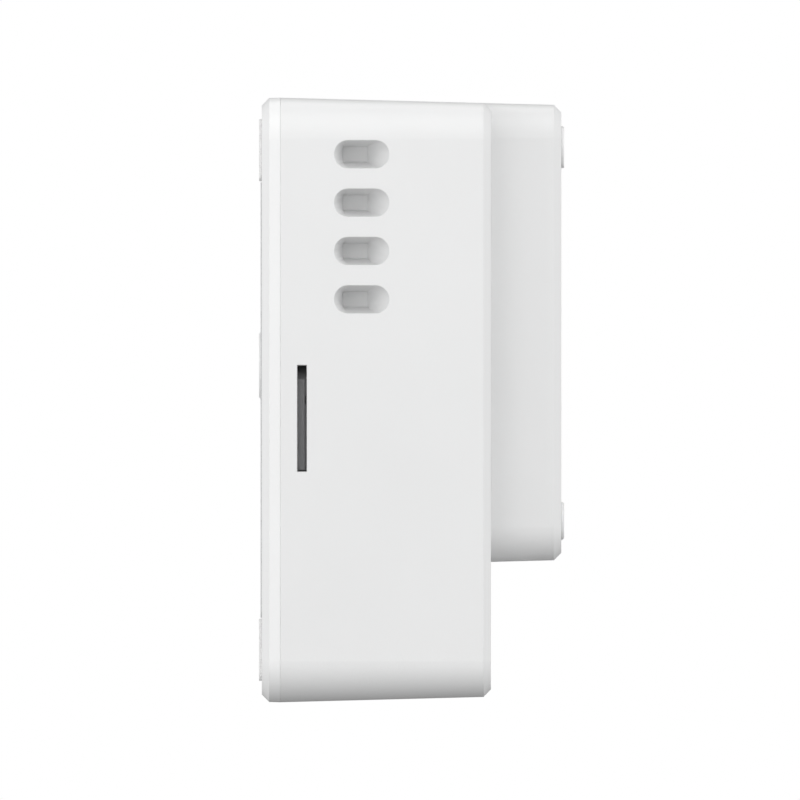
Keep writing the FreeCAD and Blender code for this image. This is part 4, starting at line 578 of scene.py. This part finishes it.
def plaque(work, outline, centre, back, front, edge):
    """A thin plate in the XZ plane, from depth back to depth front, with its front edge softened."""
    toward = math.copysign(edge, front - back)
    middle = tuple(sum(values) / len(outline) for values in zip(*outline))
    reach = max(math.dist(point, middle) for point in outline)
    rings = []
    for depth, share in ((back, 1.0), (front - toward, 1.0), (front, 1 - edge / reach)):
        ring = []
        for across, up in outline:
            x = centre[0] + middle[0] + (across - middle[0]) * share
            z = centre[1] + middle[1] + (up - middle[1]) * share
            ring.append((x, depth, z))
        rings.append(ring)
    loft(work, rings)


# ------------------------------------------------------------------ soft pieces
PAD_HEIGHT = 14.5 * MM
PAD_CORNER = 2.0 * MM
PAD_PINCH = 0.15 * MM
PAD_PINCH_START = 0.15
PAD_WAIST = 0.25 * MM
PAD_LAYERS = (0.0, 0.12, 0.3, 0.5, 0.7, 0.88, 1.0)


def foam_pad(work):
    """Both adhesive pads: foam slabs whose cut sides bulge and whose long edges are drawn in a little."""
    low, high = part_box("wall_pads")
    width = high.x - low.x
    for up in (high.z - PAD_HEIGHT / 2, low.z + PAD_HEIGHT / 2):
        outline = rounded_outline(width, PAD_HEIGHT, PAD_CORNER)
        rings = []
        for share in PAD_LAYERS:
            pinch = 1 - math.sin(math.pi * (PAD_PINCH_START + (1 - 2 * PAD_PINCH_START) * share))
            ring = []
            for across, rise in outline:
                bow = PAD_WAIST * (1 - (2 * across / width) ** 2)
                x = across * (1 - PAD_PINCH * pinch / width)
                z = rise * (1 - (PAD_PINCH * pinch + bow) / (PAD_HEIGHT / 2))
                ring.append((x, low.y + share * (high.y - low.y), up + z))
            rings.append(ring)
        loft(work, rings)


def make_foam_pads():
    """The two adhesive pads, as one tightly filled piece."""
    pads = new_piece("foam_pads", foam_pad, FINISHES["adhesive_foam"], "unit")
    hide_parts("wall_pads")


THREAD = 0.6 * MM
THREAD_RISE = 0.06 * MM


def weave_lift(i, j):
    """Up where one thread crosses over, down at the next crossing, and level between the threads."""
    if i % 2 or j % 2:
        return 0.0
    return THREAD_RISE if (i + j) % 4 == 0 else -THREAD_RISE


def woven_disc(work):
    """Plain-weave cloth: each crossing has one thread up and the other down."""
    low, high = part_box("speaker_mesh")
    radius = (high.x - low.x) / 2
    centre = (low + high) / 2
    step = THREAD / 2
    count = int(radius / step)
    grid = {}
    for i in range(-count, count + 1):
        for j in range(-count, count + 1):
            if math.hypot(i * step, j * step) < radius:
                place = (centre.x + i * step, centre.y + weave_lift(i, j), centre.z + j * step)
                grid[i, j] = work.verts.new(place)
    for i, j in grid:
        corners = [(i, j), (i + 1, j), (i + 1, j + 1), (i, j + 1)]
        if all(corner in grid for corner in corners):
            work.faces.new([grid[corner] for corner in corners]).smooth = True
    loose = [point for point in work.verts if not point.link_faces]
    bmesh.ops.delete(work, geom=loose, context="VERTS")


def make_speaker_cloth():
    """The dust cloth behind the speaker holes, stretched over its gasket."""
    cloth = new_piece("speaker_cloth", woven_disc, FINISHES["mesh_cloth"], "unit")
    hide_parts("speaker_mesh")


# ------------------------------------------------------------------ the button's spring
SPRING_TURNS = 5.5
SPRING_WIRE_RADIUS = 0.35 * MM
SPRING_STEPS_PER_TURN = 32
SPRING_SIDES = 10


def spring_coil(work):
    """The button's return spring, wound in the space that its CAD node holds."""
    low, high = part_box("button_spring")
    centre = (low + high) / 2
    radius = (high.x - low.x) / 2 - SPRING_WIRE_RADIUS
    length = high.y - low.y - 2 * SPRING_WIRE_RADIUS
    along = Vector((0, 1, 0))
    rings = []
    for step in range(int(SPRING_TURNS * SPRING_STEPS_PER_TURN) + 1):
        turn = math.tau * step / SPRING_STEPS_PER_TURN
        outward = Vector((math.cos(turn), 0, math.sin(turn)))
        advance = length * step / (SPRING_TURNS * SPRING_STEPS_PER_TURN)
        middle = Vector((centre.x, high.y - SPRING_WIRE_RADIUS - advance, centre.z)) + radius * outward
        ring = []
        for side in range(SPRING_SIDES):
            angle = math.tau * side / SPRING_SIDES
            across = math.cos(angle) * outward + math.sin(angle) * along
            ring.append(middle + SPRING_WIRE_RADIUS * across)
        rings.append(ring)
    loft(work, rings)


def make_return_spring():
    """The spring stands on its board, with a mesh of its own."""
    spring = new_piece("return_spring", spring_coil, FINISHES["spring_steel"], "unit")
    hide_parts("button_spring")
    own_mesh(spring)


# ------------------------------------------------------------------ printed and plated details
BUTTON_DISH_DEPTH = 0.35 * MM
ICON_THICK = 0.08 * MM

# The bell's half width, flare and height, as shares of its size. Its dome ends at a share of the way
# down, and its flare grows with a power of the way down.
BELL_SIZE = 2.6 * MM
BELL_DOME_END = 1 / 2.6
BELL_HALF_WIDTH = 0.52
BELL_FLARE = 0.4
BELL_FLARE_POWER = 5
BELL_HEIGHT = 1.7
BELL_STEPS = 24

# The clapper's width, height and corner radius, and its middle's drop, as shares of the bell's size.
CLAPPER_SHAPE = (0.9, 0.4, 0.19)
CLAPPER_DROP = 1.05


def bell_outline():
    """A plain bell seen from the front: dome, waist and flared rim, as (across, up)."""
    right = []
    for step in range(BELL_STEPS + 1):
        share = step / BELL_STEPS
        dome = math.sqrt(1 - max(0.0, 1 - share / BELL_DOME_END) ** 2)
        across = BELL_HALF_WIDTH * dome + BELL_FLARE * share**BELL_FLARE_POWER
        right.append((BELL_SIZE * across, BELL_SIZE * (1 - BELL_HEIGHT * share)))
    left = [(-across, up) for across, up in reversed(right) if across > 0]
    return right + left


def front_centre(node):
    """The middle of a node's front, as (across, up)."""
    low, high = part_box(node)
    return (low.x + high.x) / 2, (low.z + high.z) / 2


def bell_icon(work):
    """The generic bell, with its clapper below the rim, on the dished face of the button."""
    centre = front_centre("bell_button")
    below = (centre[0], centre[1] - CLAPPER_DROP * BELL_SIZE)
    clapper = rounded_outline(*(share * BELL_SIZE for share in CLAPPER_SHAPE))
    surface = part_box("bell_button")[0].y + BUTTON_DISH_DEPTH
    for outline, middle in ((bell_outline(), centre), (clapper, below)):
        plaque(work, outline, middle, surface + ICON_THICK, surface - ICON_THICK / 2, ICON_THICK / 4)


PRINT_THICK = 0.05 * MM
CARD_LABEL_SIZE = (20 * MM, 17 * MM)
CARD_LABEL_CORNER = 1.0 * MM
BATTERY_LABEL_SIZE = (30 * MM, 40 * MM)
BATTERY_LABEL_CORNER = 2.0 * MM


def label(work, node, size, corner):
    """A thin label in the middle of a node's front."""
    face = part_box(node)[0].y
    outline = rounded_outline(*size, corner)
    plaque(work, outline, front_centre(node), face + PRINT_THICK, face - PRINT_THICK, PRINT_THICK / 2)


def card_label(work):
    label(work, "memory_card", CARD_LABEL_SIZE, CARD_LABEL_CORNER)


def battery_label(work):
    label(work, "battery_tray", BATTERY_LABEL_SIZE, BATTERY_LABEL_CORNER)


CARD_CONTACTS = 8
CARD_CONTACT_SIZE = (4.5 * MM, 1.5 * MM)
CARD_CONTACT_CORNER = 0.3 * MM
CARD_CONTACT_INSET = 5.0 * MM
CARD_LOWER_MARGIN = 1.5 * MM
CARD_UPPER_MARGIN = 2.5 * MM


def card_contacts(work):
    """Gold strips in a row near the card's inner end, on its back."""
    low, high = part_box("memory_card")
    pitch = (high.z - low.z - CARD_LOWER_MARGIN - CARD_UPPER_MARGIN) / CARD_CONTACTS
    outline = rounded_outline(*CARD_CONTACT_SIZE, CARD_CONTACT_CORNER, steps=3)
    for strip in range(CARD_CONTACTS):
        centre = (high.x - CARD_CONTACT_INSET, low.z + CARD_LOWER_MARGIN + pitch * (strip + 0.5))
        plaque(work, outline, centre, high.y - PRINT_THICK, high.y + PRINT_THICK / 2, PRINT_THICK / 4)


def make_details():
    """Every printed or plated piece: its maker, finish, body and slot."""
    details = {
        "bell_icon": (bell_icon, ICON_PRINT, "button", "button_plastic"),
        "card_label": (card_label, CARD_LABEL, "card", "card_plastic"),
        "card_contacts": (card_contacts, FINISHES["contact_gold"], "card", "contact_gold"),
        "battery_label": (battery_label, BATTERY_LABEL, "battery", "battery_plastic"),
    }
    for name, (maker, finish, body, slot) in details.items():
        new_piece(name, maker, finish, body)


finish_frame()
make_foam_pads()
make_speaker_cloth()
make_return_spring()
make_details()
make_camera()
make_dome()
for title, settings in SOFTBOXES.items():
    make_softbox(title, *settings)
make_floor(floor_finish())
scene.view_settings.view_transform = "Standard"
